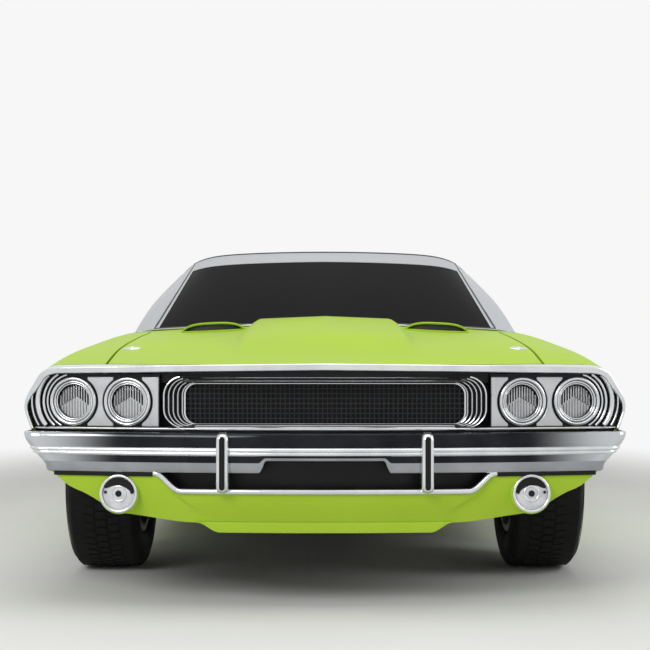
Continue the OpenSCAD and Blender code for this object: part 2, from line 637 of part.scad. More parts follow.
// Lamp panels, turned to follow the swept face
panel_in = 258;
panel_x = half_w - panel_in;
lamp_gap = 26;
lamp_step = lamp_d + lamp_gap;
panel_end = 27;
panel_w = lamp_d + lamp_step + 2 * panel_end;
panel_r = 52;
panel_plate = 12;
panel_set = 30;
panel_turn = atan(2 * nose_sweep * panel_x / half_w ^ 2);
lamp_depth = 48;
module on_lamp_panel() {
  for (s = [0, 1]) mirror([s, 0, 0]) translate([panel_x, face_y(panel_x) + panel_set, grille_z
    + panel_h / 2]) rotate([0, 0, panel_turn]) rotate([90, 0, 0]) children();
}
module headlamp_panels() {
  color([0.72, 0.73, 0.75]) on_lamp_panel() difference() {
    translate([0, 0, -panel_plate]) linear_extrude(panel_plate)
      polygon(corner_rect(panel_w, panel_h, panel_r));
    for (i = [-1, 1]) translate([i * lamp_step / 2, 0, -2 * panel_plate])
      cylinder(d = lamp_d + 2 * seat_gap, h = 3 * panel_plate);
  }
}
lamp_front = 16;
// Bowl behind the panel, as shares of the lamp's radius and depth, then bezel and lens as shares of its front
bowl_shares = [[0, -1], [0.40, -1], [0.90, -0.25], [1, -0.25]];
bezel_shares = [[1, 0.60], [0.975, 1], [0.945, 1], [0.925, 0.60], [0.905, 0.85], [0.875, 0.85],
  [0.86, 0.35], [0.50, 0.75], [0, 0.90]];
module headlamps() {
  r = lamp_d / 2;
  color([0.9, 0.9, 0.92]) on_lamp_panel() for (i = [-1, 1]) translate([i * lamp_step / 2, 0, 0])
    rotate_extrude()
    polygon(concat([for (p = bowl_shares) [p[0] * r, p[1] * lamp_depth]],
      [for (p = bezel_shares) [p[0] * r, p[1] * lamp_front]]));
}

// Grille: stepped surround, mesh and back plate
grille_gap = 9;
grille_w = 2 * (panel_x - panel_w / 2 - grille_gap);
grille_h = panel_h;
grille_r = 60;
ring_n = 5;
ring_step = 13;
ring_drop = 3.5;
ring_deep = 11;
ring_set = 14;
bar_t = 3;
bar_d = 8;
bars_across = 20;
bars_up = 4;
module grille() {
  y = face_y(grille_w / 2) + ring_set;
  w = grille_w - 2 * ring_n * ring_step;
  h = grille_h - 2 * ring_n * ring_drop;
  color([0.08, 0.08, 0.09]) translate([0, y, grille_z + grille_h / 2]) rotate([90, 0, 0]) {
    for (k = [0:ring_n - 1]) translate([0, 0, -ring_deep * (k + 1)])
      linear_extrude(ring_deep + bar_t / 2) difference() {
      polygon(corner_rect(grille_w - 2 * k * ring_step, grille_h - 2 * k * ring_drop,
        grille_r - k * ring_drop));
      polygon(corner_rect(grille_w - 2 * (k + 1) * ring_step, grille_h - 2 * (k + 1) * ring_drop,
        grille_r - (k + 1) * ring_drop));
    }
    translate([0, 0, -ring_deep * ring_n - bar_d]) linear_extrude(bar_d) {
      difference() {
        polygon(corner_rect(w + 2 * ring_step, h + 2 * ring_drop, grille_r - (ring_n - 1) * ring_drop));
        polygon(corner_rect(w, h, grille_r - ring_n * ring_drop));
      }
      for (i = [-bars_across / 2:bars_across / 2]) translate([i * w / (bars_across + 1) - bar_t / 2,
        -h / 2]) square([bar_t, h]);
      for (i = [-bars_up / 2:bars_up / 2]) translate([-w / 2, i * h / (bars_up + 1) - bar_t / 2])
        square([w, bar_t]);
    }
  }
}

// Bumpers: a blade along a swept path that wraps the corners
wrap_inset = 35;
wrap_x = half_w - wrap_inset;
wrap_in = 8;
wrap_len = 330;
path_steps = 8;
// Front blade: places across as shares of its half width, with a step in the lower edge
run_shares = [0, 0.10, 0.2095, 0.225, 0.2405, 0.34, 0.45, 0.56, 0.67, 0.78, 0.89, 1];
step_share = 0.2095;
step_run_share = 0.031;
step_h = 37;
// Front blade's section: depth, then share of the height, with two ridges
ridge_low_share = 0.44;
ridge_out = 5;
blade_lip = 4;
blade_under = 9;
blade_roll = 3;
blade_shares = [[bumper_t, 0], [blade_under, 0], [blade_roll, 0.15], [0, ridge_low_share],
  [-ridge_out, 0.485], [0, 0.53],
  [-ridge_out, 0.575], [0, 0.62], [0, 0.9], [blade_lip, 1], [bumper_t, 1]];
corner_r = 40;
corner_turns = [30, 60, 90];
wrap_clear = 3;
nose_section = section(body_shares[0][0]);
function blade_z(f, share) = let(low = bumper_z + step_h * (1 - ease((f - step_share) / step_run_share)))
  share < ridge_low_share ? lerp(low, bumper_z + ridge_low_share * bumper_h, share / ridge_low_share)
  : bumper_z + share * bumper_h;
// Half width of the blade at a height, short of the rounded corner
function blade_w(z) = side_x(nose_section, z) + wrap_clear + bumper_t - corner_r;
function blade_loop(f) = [for (p = blade_shares)
  let(z = blade_z(abs(f), p[1]), x = f * blade_w(z)) [x, bumper_y(x) + p[0], z]];
function blade_corner(a) = [for (p = blade_shares)
  let(z = blade_z(1, p[1]), w = blade_w(z), r = corner_r - p[0]) [w + r * sin(a), bumper_y(w) + corner_r
    - r * cos(a), z]];
function blade_end(y) = [for (p = blade_shares) let(z = blade_z(1, p[1]))
  [side_x(section(at_s(y)), z) + wrap_clear + bumper_t - p[0], y, z]];
function flipped(loop) = [for (p = loop) [-p[0], p[1], p[2]]];
function mirrored_run(loops) = concat([for (i = [len(loops) - 1:-1:1]) flipped(loops[i])], loops);
front_blade = concat([for (f = run_shares) blade_loop(f)], [for (a = corner_turns) blade_corner(a)],
  [for (k = [0:2]) blade_end(lerp(bumper_y(wrap_x) + 2 * corner_r, front_y + wrap_len, k / 2))]);
rear_sweep = 90;
function rear_bumper_y(x) = -front_y - rear_sweep * (x / half_w) ^ 2;
rear_path = [for (i = [0:path_steps]) let(x = (wrap_x - wrap_in) * i / path_steps) [x, rear_bumper_y(x)],
  [wrap_x + wrap_in, rear_bumper_y(wrap_x) - bumper_t], [wrap_x + 2 * wrap_in,
    rear_bumper_y(wrap_x) - 3 * bumper_t],
  [wrap_x + 2 * wrap_in, -front_y - wrap_len]];
function both_ways(path) = concat([for (i = [len(path) - 1:-1:1]) [-path[i][0], path[i][1]]], path);
// Unit normal pointing into the car
function inward(path, i, d) = let(n = len(path) - 1, t = path[min(i + 1, n)] - path[max(i - 1, 0)])
  d * [-t[1], t[0]] / norm(t);
// Loops of a section given as depth and height, swept along a path
function swept(path, sec, d) = [for (i = [0:len(path) - 1]) let(m = inward(path, i, d))
  [for (p = sec) [path[i][0] + m[0] * p[0], path[i][1] + m[1] * p[0], p[1]]]];
blade_edge = 14;
function blade(z, h) = [[blade_lip, z], [0, z + blade_edge], [0, z + h - blade_edge], [blade_lip, z + h],
  [bumper_t, z + h], [bumper_t, z]];
guard_in = 655;
guard_x = half_w - guard_in;
guard_drop = 60;
guard_z = bumper_z - guard_drop;
guard_h = 185;
guard_nose = 14;
module front_bumper() {
  back = bumper_y(guard_x) + bumper_t / 2;
  color([0.8, 0.81, 0.83]) {
    loft(mirrored_run(front_blade));
    both() across(guard_x - guard_w / 2, guard_x + guard_w / 2, [[front_y, guard_z + guard_nose],
      [front_y + guard_nose, guard_z], [back, guard_z], [back, guard_z + guard_h],
      [front_y + guard_nose, guard_z + guard_h], [front_y, guard_z + guard_h - guard_nose]]);
  }
}
rear_bumper_share = 0.31;
rear_bumper_z = rear_bumper_share * level_h;
module rear_bumper() {
  p = both_ways(rear_path);
  color([0.8, 0.81, 0.83]) loft(swept([for (i = [len(p) - 1:-1:0]) p[i]], blade(rear_bumper_z, bumper_h),
    1));
}

// Valance below the front bumper: rows up its face give height, half width and rake as shares
valance_h = 156;
valance_low = bumper_z - valance_h;
valance_set = 14;
valance_rake = 44;
valance_shares = [[0, 0.684, 1], [0.23, 0.716, 0.78], [0.49, 0.774, 0.5], [0.62, 0.8155, 0.36],
  [1, 0.876, 0]];
valance_run_shares = [0, 0.13, 0.26, 0.39, 0.50, 0.54, 0.58, 0.62, 0.70, 0.80, 0.90, 1];
// Its top edge dips below the bumper to leave the air intake open
dip_h = 55;
dip_share = 0.52;
dip_run_share = 0.10;
valance_end = 400;
turn_in = 332;
turn_x = half_w - turn_in;
turn_depth = 70;
turn_flat_share = 0.6;
collar_t = 9;
turn_clear = 3;
turn_z = bumper_z - turn_d / 2 - collar_t - turn_clear;
collar_out = 3;
collar_in = 52;
chin_in = 565;
chin_x = half_w - chin_in;
chin_h = 30;
chin_z = valance_low - chin_h;
function valance_z(f, share) = valance_low + share * (valance_h - seat_gap
  - dip_h * (1 - ease((f - dip_share) / dip_run_share)));
function valance_line(f, t) = [for (p = valance_shares) let(x = f * p[1] * half_w)
  [x, bumper_y(x) + valance_set + p[2] * valance_rake + t, valance_z(abs(f), p[0])]];
function valance_side(y, out, t) = [for (p = valance_shares) let(w = p[1] * half_w)
  [w + out - t, y < front_y + valance_end ? bumper_y(w) + valance_set + p[2] * valance_rake + y - front_y
    : y, valance_z(1, p[0])]];
function turned(line) = [for (i = [len(line) - 1:-1:0]) line[i]];
valance_loops = concat([for (f = valance_run_shares)
  concat(valance_line(f, 0), turned(valance_line(f, panel_t)))],
  [for (p = [[front_y + 3 * wrap_in, wrap_in], [front_y + valance_end, 2 * wrap_in]])
    concat(valance_side(p[0], p[1], 0), turned(valance_side(p[0], p[1], panel_t)))]);
module at_turn_lamps() {
  for (s = [-1, 1]) translate([s * turn_x, bumper_y(turn_x) + valance_set / 2, turn_z])
    rotate([-90, 0, 0]) children();
}
module front_valance() {
  r = turn_d / 2 + seat_gap;
  low = [for (i = [0:path_steps]) let(x = chin_x * i / path_steps) [x, bumper_y(x)]];
  color([0.66, 0.81, 0.22]) {
    difference() {
      loft(mirrored_run(valance_loops));
      at_turn_lamps() translate([0, 0, -nose_set]) cylinder(r = r, h = 2 * nose_sweep);
    }
    at_turn_lamps() rotate_extrude() polygon([[r, collar_out], [r + collar_t / 2, collar_out],
      [r + collar_t, collar_out + collar_t], [r + collar_t, collar_in], [r, collar_in]]);
    loft(swept(both_ways(low), [[valance_set + valance_rake + panel_t, chin_z],
      [valance_set + valance_rake - panel_t, chin_z],
        [valance_set + valance_rake - panel_t, valance_low + panel_t / 2],
      [valance_set + valance_rake + panel_t, valance_low + panel_t / 2]], 1));
  }
}
module turn_lamps() {
  r = turn_d / 2;
  color([0.85, 0.85, 0.85]) at_turn_lamps() rotate_extrude()
    polygon([[0, 0], [r * turn_flat_share, 0], [r, valance_set], [r, turn_depth], [0, turn_depth]]);
}

// Glass
wind_low_share = 0.3080;
wind_sweep = 95;
wind_in = 239;
wind_x = half_w - wind_in;
wind_top_in = 72;
wind_top_x = rail_x - wind_top_in;
back_low_share = 0.7920;
back_in = 369;
back_x = half_w - back_in;
back_top_in = 78;
back_top_x = rail_x - back_top_in;
glass_cols = 8;
glass_rows = 4;
glass_lift = 5.8;
glass_set = 4.5;
function wind_pt(u, k) = let(xl = wind_x * u, xt = wind_top_x * u, yl = at_y(wind_low_share)
  + wind_sweep * u ^ 2,
  yt = roof_y0(xt)) lerp([xl, yl, deck_z(xl, yl) + glass_lift],
    [xt, yt - glass_set, roof_z(xt, yt) - glass_set], k);
function back_pt(u, k) = let(xl = back_x * u, xt = back_top_x * u, yl = at_y(back_low_share),
  yt = roof_y1(xt))
  lerp([xt, yt + glass_set, roof_z(xt, yt) - glass_set], [xl, yl, deck_z(xl, yl) + glass_lift], k);
belt_set = 157;
belt_x = half_w - belt_set;
belt_lip = 8;
belt_in = belt_x - belt_lip;
rail_clear = 7;
side_cols = 3;
side_rows = 12;
function side_glass(c, clear) = [for (k = [0:side_rows]) let(yb = at_y(lerp(c[0], c[1], k / side_rows)),
  yt = at_y(lerp(c[2], c[3], k / side_rows)), r = rail_low(yt)) [for (i = [0:side_cols])
  lerp([belt_x, yb, deck_z(belt_x, yb) + 3 * seat_gap], [r[0] + glass_t / 2, yt, r[1] - clear],
    i / side_cols)]];
wind_in_shares = [0, 0.42, -0.90];
back_in_shares = [0, -0.35, -0.93];
side_in_shares = [-1, 0, 0];
// Lower front, lower rear, upper front and upper rear corner of a side window along the car
quarter_glass_shares = [0.5950, 0.6640, 0.5950, 0.6215];
door_glass_shares = [0.3370, 0.5910, 0.4760, 0.5910];
module glazing(o, n) {
  shell(o, [for (r = o) [for (p = r) p + glass_t * n]]);
}
module fixed_glass() {
  us = [for (i = [0:glass_cols]) 1 - 2 * i / glass_cols];
  color([0.05, 0.06, 0.07]) {
    glazing([for (k = [0:glass_rows]) [for (u = us) wind_pt(u, k / glass_rows)]], wind_in_shares);
    glazing([for (k = [0:glass_rows]) [for (u = us) back_pt(u, k / glass_rows)]], back_in_shares);
    both() glazing(side_glass(quarter_glass_shares, seat_gap), side_in_shares);
  }
}
module door_glass_left() {
  color([0.05, 0.06, 0.07]) glazing(side_glass(door_glass_shares, rail_clear), side_in_shares);
}
module door_glass_right() {
  mirror([1, 0, 0]) door_glass_left();
}

// Doors
door_rows_n = 8;
door_taper = 14;
module door_left() {
  o = [for (i = [0:door_rows_n]) let(y = lerp(door_y0, door_y1, i / door_rows_n))
    side_row(y, sill_top + panel_gap, belt_in)];
  n = [for (r = o) let(c = len(r) - 1, z0 = r[0][2], z1 = r[c][2],
    u = (r[0][1] - door_y0) / (door_y1 - door_y0))
    [for (j = [0:c]) [door_in_x, r[0][1] - door_taper * u, lerp(z0, z1, j / c)]]];
  color([0.66, 0.81, 0.22]) {
    difference() {
      shell(o, n);
      for (h = door_hinge_shares) translate([door_axis_x, door_axis_y, h * level_h])
        box([-door_notch_in, -2 * door_hinge_b, -door_notch_h / 2],
          [door_notch_out, notch_y + sink, door_notch_h / 2]);
    }
    for (h = door_hinge_shares) translate([door_axis_x, door_axis_y, h * level_h])
      cylinder(r = door_pin_r, h = door_notch_h + 2 * sink, center = true);
  }
}
module door_right() {
  mirror([1, 0, 0]) door_left();
}

// Hood with a raised centre and two scoops
hood_rows_n = 10;
hood_cols_shares = [1, 0.88, 0.76, 0.64];
bulge_cols_shares = [1, 0.7, 0.3, 0];
scoop_in = 527;
scoop_x = half_w - scoop_in;
scoop_w = 250;
scoop_len = 250;
scoop_back = 46;
scoop_tail = 6;
slot_w = 222;
slot_h = 26;
slot_deep = 90;
module scoop() {
  y = hood_back - scoop_back - scoop_len;
  z = deck_z(scoop_x, y);
  zr = deck_z(scoop_x, y + scoop_len);
  difference() {
    hull() {
      translate([scoop_x, y + sink, z - lid_t / 2]) rotate([90, 0, 0]) linear_extrude(sink)
        polygon(corner_rect(scoop_w, scoop_h + lid_t, lid_t / 2));
      translate([scoop_x, y + scoop_len, zr - lid_t / 2]) rotate([90, 0, 0]) linear_extrude(sink)
        polygon(corner_rect(scoop_w, lid_t / 2 + scoop_tail, scoop_tail));
    }
    translate([scoop_x, y + slot_deep, z + slot_h / 3]) rotate([90, 0, 0]) linear_extrude(2 * slot_deep)
      polygon(corner_rect(slot_w, slot_h, slot_h / 3));
  }
}
module hood() {
  rows = [for (k = [0:hood_rows_n]) let(e = edge_x(lerp(face_y(half_w), hood_back,
    k / hood_rows_n)) - panel_gap,
    xs = concat(e * hood_cols_shares, [for (c = bulge_cols_shares) bulge_in + c * bulge_ease],
      [bulge_in / 2, 0]))
    full([for (x = xs) let(y = lerp(face_y(x) + frame_depth + panel_gap, hood_back, k / hood_rows_n)) [x,
      y, deck_z(x, y) + bulge(x, y)]])];
  color([0.66, 0.81, 0.22]) {
    difference() {
      shell(rows, thin(rows, lid_t));
      lid_notches(hood_axis_y, hood_axis_z, 1);
    }
    lid_pins(hood_axis_y, hood_axis_z);
    both() scoop();
  }
}
module trunk_lid() {
  rows = [for (k = [0:6]) let(y = lerp(lid_y0, lid_y1, k / 6), e = edge_x(y) - panel_gap)
    full([for (i = [0:cowl_cols]) let(x = lerp(e, 0, i / cowl_cols)) [x, y, deck_z(x, y)]])];
  color([0.66, 0.81, 0.22]) {
    difference() {
      shell(rows, thin(rows, lid_t));
      lid_notches(lid_axis_y, lid_axis_z, -1);
    }
    lid_pins(lid_axis_y, lid_axis_z);
  }
}

// Suspension, steering and wheels
king_in = 65;
king_x = wheel_x - king_in;
arm_t = 20;
lower_drop = 130;
lower_z = wheel_z - lower_drop;
upper_up = 110;
upper_z = wheel_z + upper_up;
king_r = 11;
king_len = 26;
thrust_gap = 1;
upright_w = 40;
upright_d = 60;
hub_out = 45;
hub_in = -38;
hub_r = 45;
cross_w = 50;
arm_root = 60;
arm_tip = 26;
module arm(x0, z) {
  translate([0, front_axle_y, z]) linear_extrude(arm_t) {
    polygon([[x0, -arm_root], [king_x, -arm_tip], [king_x, arm_tip], [x0, arm_root]]);
    translate([king_x, 0]) circle(arm_tip);
  }
}
module front_suspension() {
  color([0.1, 0.1, 0.11]) {
    box([-apron_x + seat_gap, front_axle_y - cross_w, lower_z + arm_t / 2],
      [apron_x - seat_gap, front_axle_y + cross_w, apron_z - seat_gap]);
    both() {
      arm(rail_in - rail_w, lower_z);
      arm(apron_x + apron_t + seat_gap, upper_z);
      translate([king_x, front_axle_y, lower_z + arm_t - sink]) cylinder(r = king_r, h = king_len + sink);
      translate([king_x, front_axle_y, upper_z - king_len]) cylinder(r = king_r, h = king_len + sink);
    }
  }
}
module knuckle_left() {
  color([0.3, 0.3, 0.31]) difference() {
    union() {
      box([king_x - upright_w / 2, front_axle_y - upright_d / 2, lower_z + arm_t + thrust_gap],
        [king_x + upright_w / 2, front_axle_y + upright_d / 2, upper_z - thrust_gap]);
      translate([king_x, front_axle_y, wheel_z]) rotate([0, 90, 0])
        cylinder(d = spindle_d, h = king_in + hub_out);
    }
    translate([king_x, front_axle_y, lower_z]) cylinder(r = king_r + run_gap, h = arm_t + king_len
      + 2 * thrust_gap);
    translate([king_x, front_axle_y, upper_z - king_len - 2 * thrust_gap])
      cylinder(r = king_r + run_gap, h = arm_t + king_len);
  }
}
module knuckle_right() {
  mirror([1, 0, 0]) knuckle_left();
}
axle_r = 40;
diff_r = 108;
spring_in = 45;
spring_x = rear_rail_x - spring_in;
spring_w = 42;
spring_t = 18;
spring_back = 670;
shaft_r = 34;
module rear_axle() {
  z = wheel_z - axle_r - seat_gap;
  color([0.1, 0.1, 0.11]) {
    translate([0, rear_axle_y, wheel_z]) rotate([0, 90, 0]) {
      cylinder(r = axle_r, h = 2 * (wheel_x - king_in + sink), center = true);
      cylinder(d = spindle_d, h = 2 * (wheel_x + hub_out), center = true);
      cylinder(r = diff_r, h = 2 * axle_r + diff_r, center = true);
    }
    both() box([spring_x, bulk_y + wall_t + seat_gap, z - spring_t],
      [spring_x + spring_w, rear_axle_y + spring_back, z]);
  }
}
rim_narrow = 43;
rim_w = tyre_w - rim_narrow;
barrel_t = 10;
flange_h = 13;
flange_t = 6;
disc_z = 18;
disc_t = 12;
disc_share = 0.60;
brake_r = 138;
brake_z = -33;
brake_t = 10;
cap_t = 12;
slot_in_share = 0.52;
slot_out_share = 0.84;
slot_turn = 19;
module wheel() {
  r = rim_d / 2;
  h = rim_w / 2;
  color([0.75, 0.76, 0.78]) rotate([0, 90, 0]) difference() {
    union() {
      rotate_extrude() polygon([[r - barrel_t, -h], [r + flange_h, -h], [r + flange_h, -h + flange_t],
        [r, -h + flange_t],
        [r, h - flange_t], [r + flange_h, h - flange_t], [r + flange_h, h], [r - barrel_t, h]]);
      rotate_extrude() polygon([[0, disc_z], [r - barrel_t / 2, disc_z + disc_t],
        [r - barrel_t / 2, disc_z + 2 * disc_t],
        [r * disc_share, disc_z + 2 * disc_t], [hub_r, disc_z + disc_t], [0, disc_z + disc_t]]);
      translate([0, 0, hub_in]) cylinder(r = hub_r, h = hub_out - hub_in + cap_t);
      translate([0, 0, brake_z]) cylinder(r = brake_r, h = brake_t);
    }
    translate([0, 0, hub_in - sink]) cylinder(d = spindle_d + 2 * run_gap, h = hub_out - hub_in + 2 * sink);
    for (i = [0:wheel_slots - 1]) rotate([0, 0, 360 * i / wheel_slots]) linear_extrude(2 * rim_w)
      polygon([for (a = [-2:2]) r * slot_out_share * [cos(slot_turn * a / 2), sin(slot_turn * a / 2)],
        for (a = [2:-1:-2]) r * slot_in_share * [cos(slot_turn * a / 2), sin(slot_turn * a / 2)]]);
  }
}
tyre_shares = [[0.10, 0.88], [0.30, 0.98], [0.52, 1], [0.74, 0.98], [0.87, 0.92], [0.96, 0.82], [1, 0.70]];
core_shares = [[0.06, 0.64], [0.30, 0.86], [0.60, 0.88], [0.84, 0.80]];
bead_share = 0.72;
tread_t = 14;
module tyre() {
  r0 = rim_d / 2 + seat_gap;
  rf = rim_d / 2 + flange_h + seat_gap;
  r1 = tyre_d / 2;
  h = rim_w / 2 - flange_t - seat_gap;
  side = concat([[r0, h], [rf, h]], [for (p = tyre_shares) [lerp(rf, r1, p[0]), p[1] * tyre_w / 2]]);
  core = [for (p = core_shares) [lerp(rf, r1, p[0]), p[1] * tyre_w / 2]];
  inner = concat([[r0, h * bead_share]], core, [[r1 - tread_t, tyre_w / 4]]);
  n = len(side) - 1;
  m = len(inner) - 1;
  color([0.06, 0.06, 0.06]) rotate([0, 90, 0]) rotate_extrude() polygon(concat(side,
    [for (i = [n:-1:0]) [side[i][0], -side[i][1]]], [for (p = inner) [p[0], -p[1]]],
      [for (i = [m:-1:0]) inner[i]]));
}
module at_wheel(s, y) {
  translate([s * wheel_x, y, wheel_z]) mirror([s < 0 ? 1 : 0, 0, 0]) children();
}

// Engine, driveline, exhaust and tank
engine_ahead = 290;
engine_behind = 270;
engine_y0 = front_axle_y - engine_ahead;
engine_y1 = front_axle_y + engine_behind;
engine_x = 225;
engine_drop = 10;
engine_top = shelf_z - engine_drop;
cleaner_r = 190;
cleaner_h = 90;
// Half the engine's outline: oil pan, block, cylinder bank with its cover, and the valley between the banks
valley_share = 0.80;
bank_shares = [[0.50, 0], [0.55, 0.22], [0.68, 0.28], [0.68, 0.42], [1, 0.64], [1, 0.78], [0.74, 1],
  [0.52, 0.98], [0.36, valley_share]];
valley_z = lerp(apron_z, engine_top, valley_share);
carb_r = 75;
pulley_r = 70;
pulley_t = 40;
pulley_up = 90;
pulley_z = apron_z + pulley_up;
fan_r = 165;
fan_t = 22;
fan_out = 110;
fan_up = 130;
fan_z = pulley_z + fan_up;
function mirror_x(pts) = [for (p = pts) [-p[0], p[1]]];
box_x = 105;
box_len = 730;
box_y1 = engine_y1 + box_len;
box_drop = 30;
box_top = tunnel_z - box_drop;
box_up = 35;
box_low = floor_z + box_up;
module engine() {
  color([0.25, 0.26, 0.27]) {
    along(engine_y0, engine_y1, [for (p = concat(bank_shares,
      turned(mirror_x(bank_shares)))) [p[0] * engine_x, lerp(apron_z, engine_top, p[1])]]);
    translate([0, front_axle_y, valley_z - sink])
      cylinder(r = carb_r, h = engine_top - valley_z + 3 * sink);
    translate([0, front_axle_y, engine_top + sink]) cylinder(r = cleaner_r, h = cleaner_h);
    translate([0, engine_y0 + sink, pulley_z]) rotate([90, 0, 0])
      cylinder(r = pulley_r, h = pulley_t + sink);
    translate([0, engine_y0 + sink, fan_z]) rotate([90, 0, 0])
      cylinder(r = pulley_r / 2, h = fan_out + sink);
    translate([0, engine_y0 - fan_out + sink, fan_z]) rotate([90, 0, 0]) cylinder(r = fan_r, h = fan_t);
    box([-box_x, engine_y1 - sink, box_low], [box_x, box_y1, box_top]);
    translate([0, box_y1 - sink, wheel_z]) rotate([-90, 0, 0])
      cylinder(r = shaft_r, h = rear_axle_y - diff_r - seat_gap - box_y1 + sink);
  }
}
pipe_r = 25;
pipe_x = 300;
pipe_y0 = fire_y + fire_t;
pipe_end = 60;
module exhaust() {
  color([0.5, 0.5, 0.5]) both() translate([pipe_x, pipe_y0, floor_z - pipe_r - seat_gap])
    rotate([-90, 0, 0]) cylinder(r = pipe_r, h = -front_y - pipe_end - pipe_y0);
}
tank_in = 95;
tank_x = spring_x - tank_in;
tank_behind = 370;
tank_len = 460;
tank_h = 210;
module fuel_tank() {
  color([0.35, 0.35, 0.36]) box([-tank_x, rear_axle_y + tank_behind, trunk_z - tank_h],
    [tank_x, rear_axle_y + tank_behind + tank_len, trunk_z - seat_gap]);
}

// Cabin
seat_tunnel_gap = 15;
seat_in = tunnel_w + seat_tunnel_gap;
seat_side = 40;
seat_out = pillar_x - seat_side;
seat_shares = [[0.4220, 0], [0.4220, 0.36], [0.5150, 0.33], [0.5600, 0.76], [0.5800, 0.77],
  [0.5500, 0.28], [0.5450, 0]];
bench_side = 6;
bench_x = trunk_x - bench_side;
bench_shares = [[0.6070, 0], [0.6070, 0.36], [0.6780, 0.33], [0.6950, 0.66], [0.7040, 0.66], [0.7040, 0]];
function profile(shares) = [for (p = shares) [at_y(p[0]), max(p[1] * level_h, floor_top + seat_gap)]];
module seats() {
  color([0.07, 0.07, 0.08]) {
    both() across(seat_in, seat_out, profile(seat_shares));
    difference() {
      across(-bench_x, bench_x, profile(bench_shares));
      along(bulk_y - car_height, bulk_y, concat([for (p = tunnel_gap) [p[0] + sign(p[0]) * sink, p[1]]],
        [[-tunnel_w - 2 * sink, 0], [tunnel_w + 2 * sink, 0]]));
    }
  }
}
dash_back = 30;
dash_deep = 350;
dash_y0 = fire_y + dash_back;
dash_y1 = dash_y0 + dash_deep;
dash_top_share = 0.655;
dash_top = dash_top_share * level_h;
dash_h = 245;
dash_flat_share = 0.9;
dash_low = dash_top - dash_h;
column_in = 595;
column_x = half_w - column_in;
column_tilt = 24;
column_sunk = 50;
column_y = dash_y1 - column_sunk;
column_drop = 155;
column_z = dash_top - column_drop;
column_len = 270;
column_r = 28;
wheel_pin_r = 12;
wheel_pin_len = 34;
module on_column() {
  translate([column_x, column_y, column_z]) rotate([-90 + column_tilt, 0, 0]) children();
}
module dashboard() {
  back = fire_y + fire_t + seat_gap;
  color([0.07, 0.07, 0.08]) {
    across(-pillar_x + seat_gap, pillar_x - seat_gap,
      [[back, dash_low + 4 * sink], [back, dash_low + dash_h / 2],
      [dash_y0, dash_low + dash_h / 2], [dash_y0, dash_top],
        [lerp(dash_y0, dash_y1, dash_flat_share), dash_top],
      [dash_y1, dash_top - 3 * sink], [dash_y1 - 4 * sink, dash_low]]);
    on_column() cylinder(r = column_r, h = column_len);
    on_column() cylinder(r = wheel_pin_r, h = column_len + wheel_pin_len);
  }
}
grip_r = 182;
grip_t = 13;
spoke_w = 26;
spoke_t = 8;
boss_r = 44;
boss_h = 36;
module steering_wheel() {
  color([0.05, 0.05, 0.05]) on_column() translate([0, 0, column_len + thrust_gap]) difference() {
    union() {
      translate([0, 0, boss_h]) rotate_extrude() translate([grip_r, 0]) circle(grip_t);
      cylinder(r = boss_r, h = boss_h + spoke_t);
      for (a = [90, 210, 330]) rotate([0, 0, a]) box([0, -spoke_w / 2, boss_h - spoke_t],
        [grip_r, spoke_w / 2, boss_h]);
    }
    translate([0, 0, -sink]) cylinder(r = wheel_pin_r + run_gap, h = wheel_pin_len + sink);
  }
}

module wheel_front_left() { at_wheel(1, front_axle_y) wheel(); }
module wheel_front_right() { at_wheel(-1, front_axle_y) wheel(); }
module wheel_rear_left() { at_wheel(1, rear_axle_y) wheel(); }
module wheel_rear_right() { at_wheel(-1, rear_axle_y) wheel(); }
module tyre_front_left() { at_wheel(1, front_axle_y) tyre(); }
module tyre_front_right() { at_wheel(-1, front_axle_y) tyre(); }
module tyre_rear_left() { at_wheel(1, rear_axle_y) tyre(); }
module tyre_rear_right() { at_wheel(-1, rear_axle_y) tyre(); }

floor_pan();
body_pillars();
firewall();
engine_bay();
chassis_rails();
trunk_floor();
wheelhouses();
fenders();
quarters();
roof();
rear_panels();
front_frame();
headlamp_panels();
headlamps();
grille();
front_bumper();
front_valance();
turn_lamps();
rear_bumper();
tail_lamps();
fixed_glass();
engine();
exhaust();
fuel_tank();
rear_axle();
front_suspension();
seats();
dashboard();
steering_wheel();
door_left();
door_right();
door_glass_left();
door_glass_right();
hood();
trunk_lid();
knuckle_left();
knuckle_right();
wheel_front_left();
wheel_front_right();
wheel_rear_left();
wheel_rear_right();
tyre_front_left();
tyre_front_right();
tyre_rear_left();
tyre_rear_right();
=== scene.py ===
"""Two-door hardtop muscle car: finishes, smooth panels, glass, lamps, trim, studio light and camera."""

import json
import math

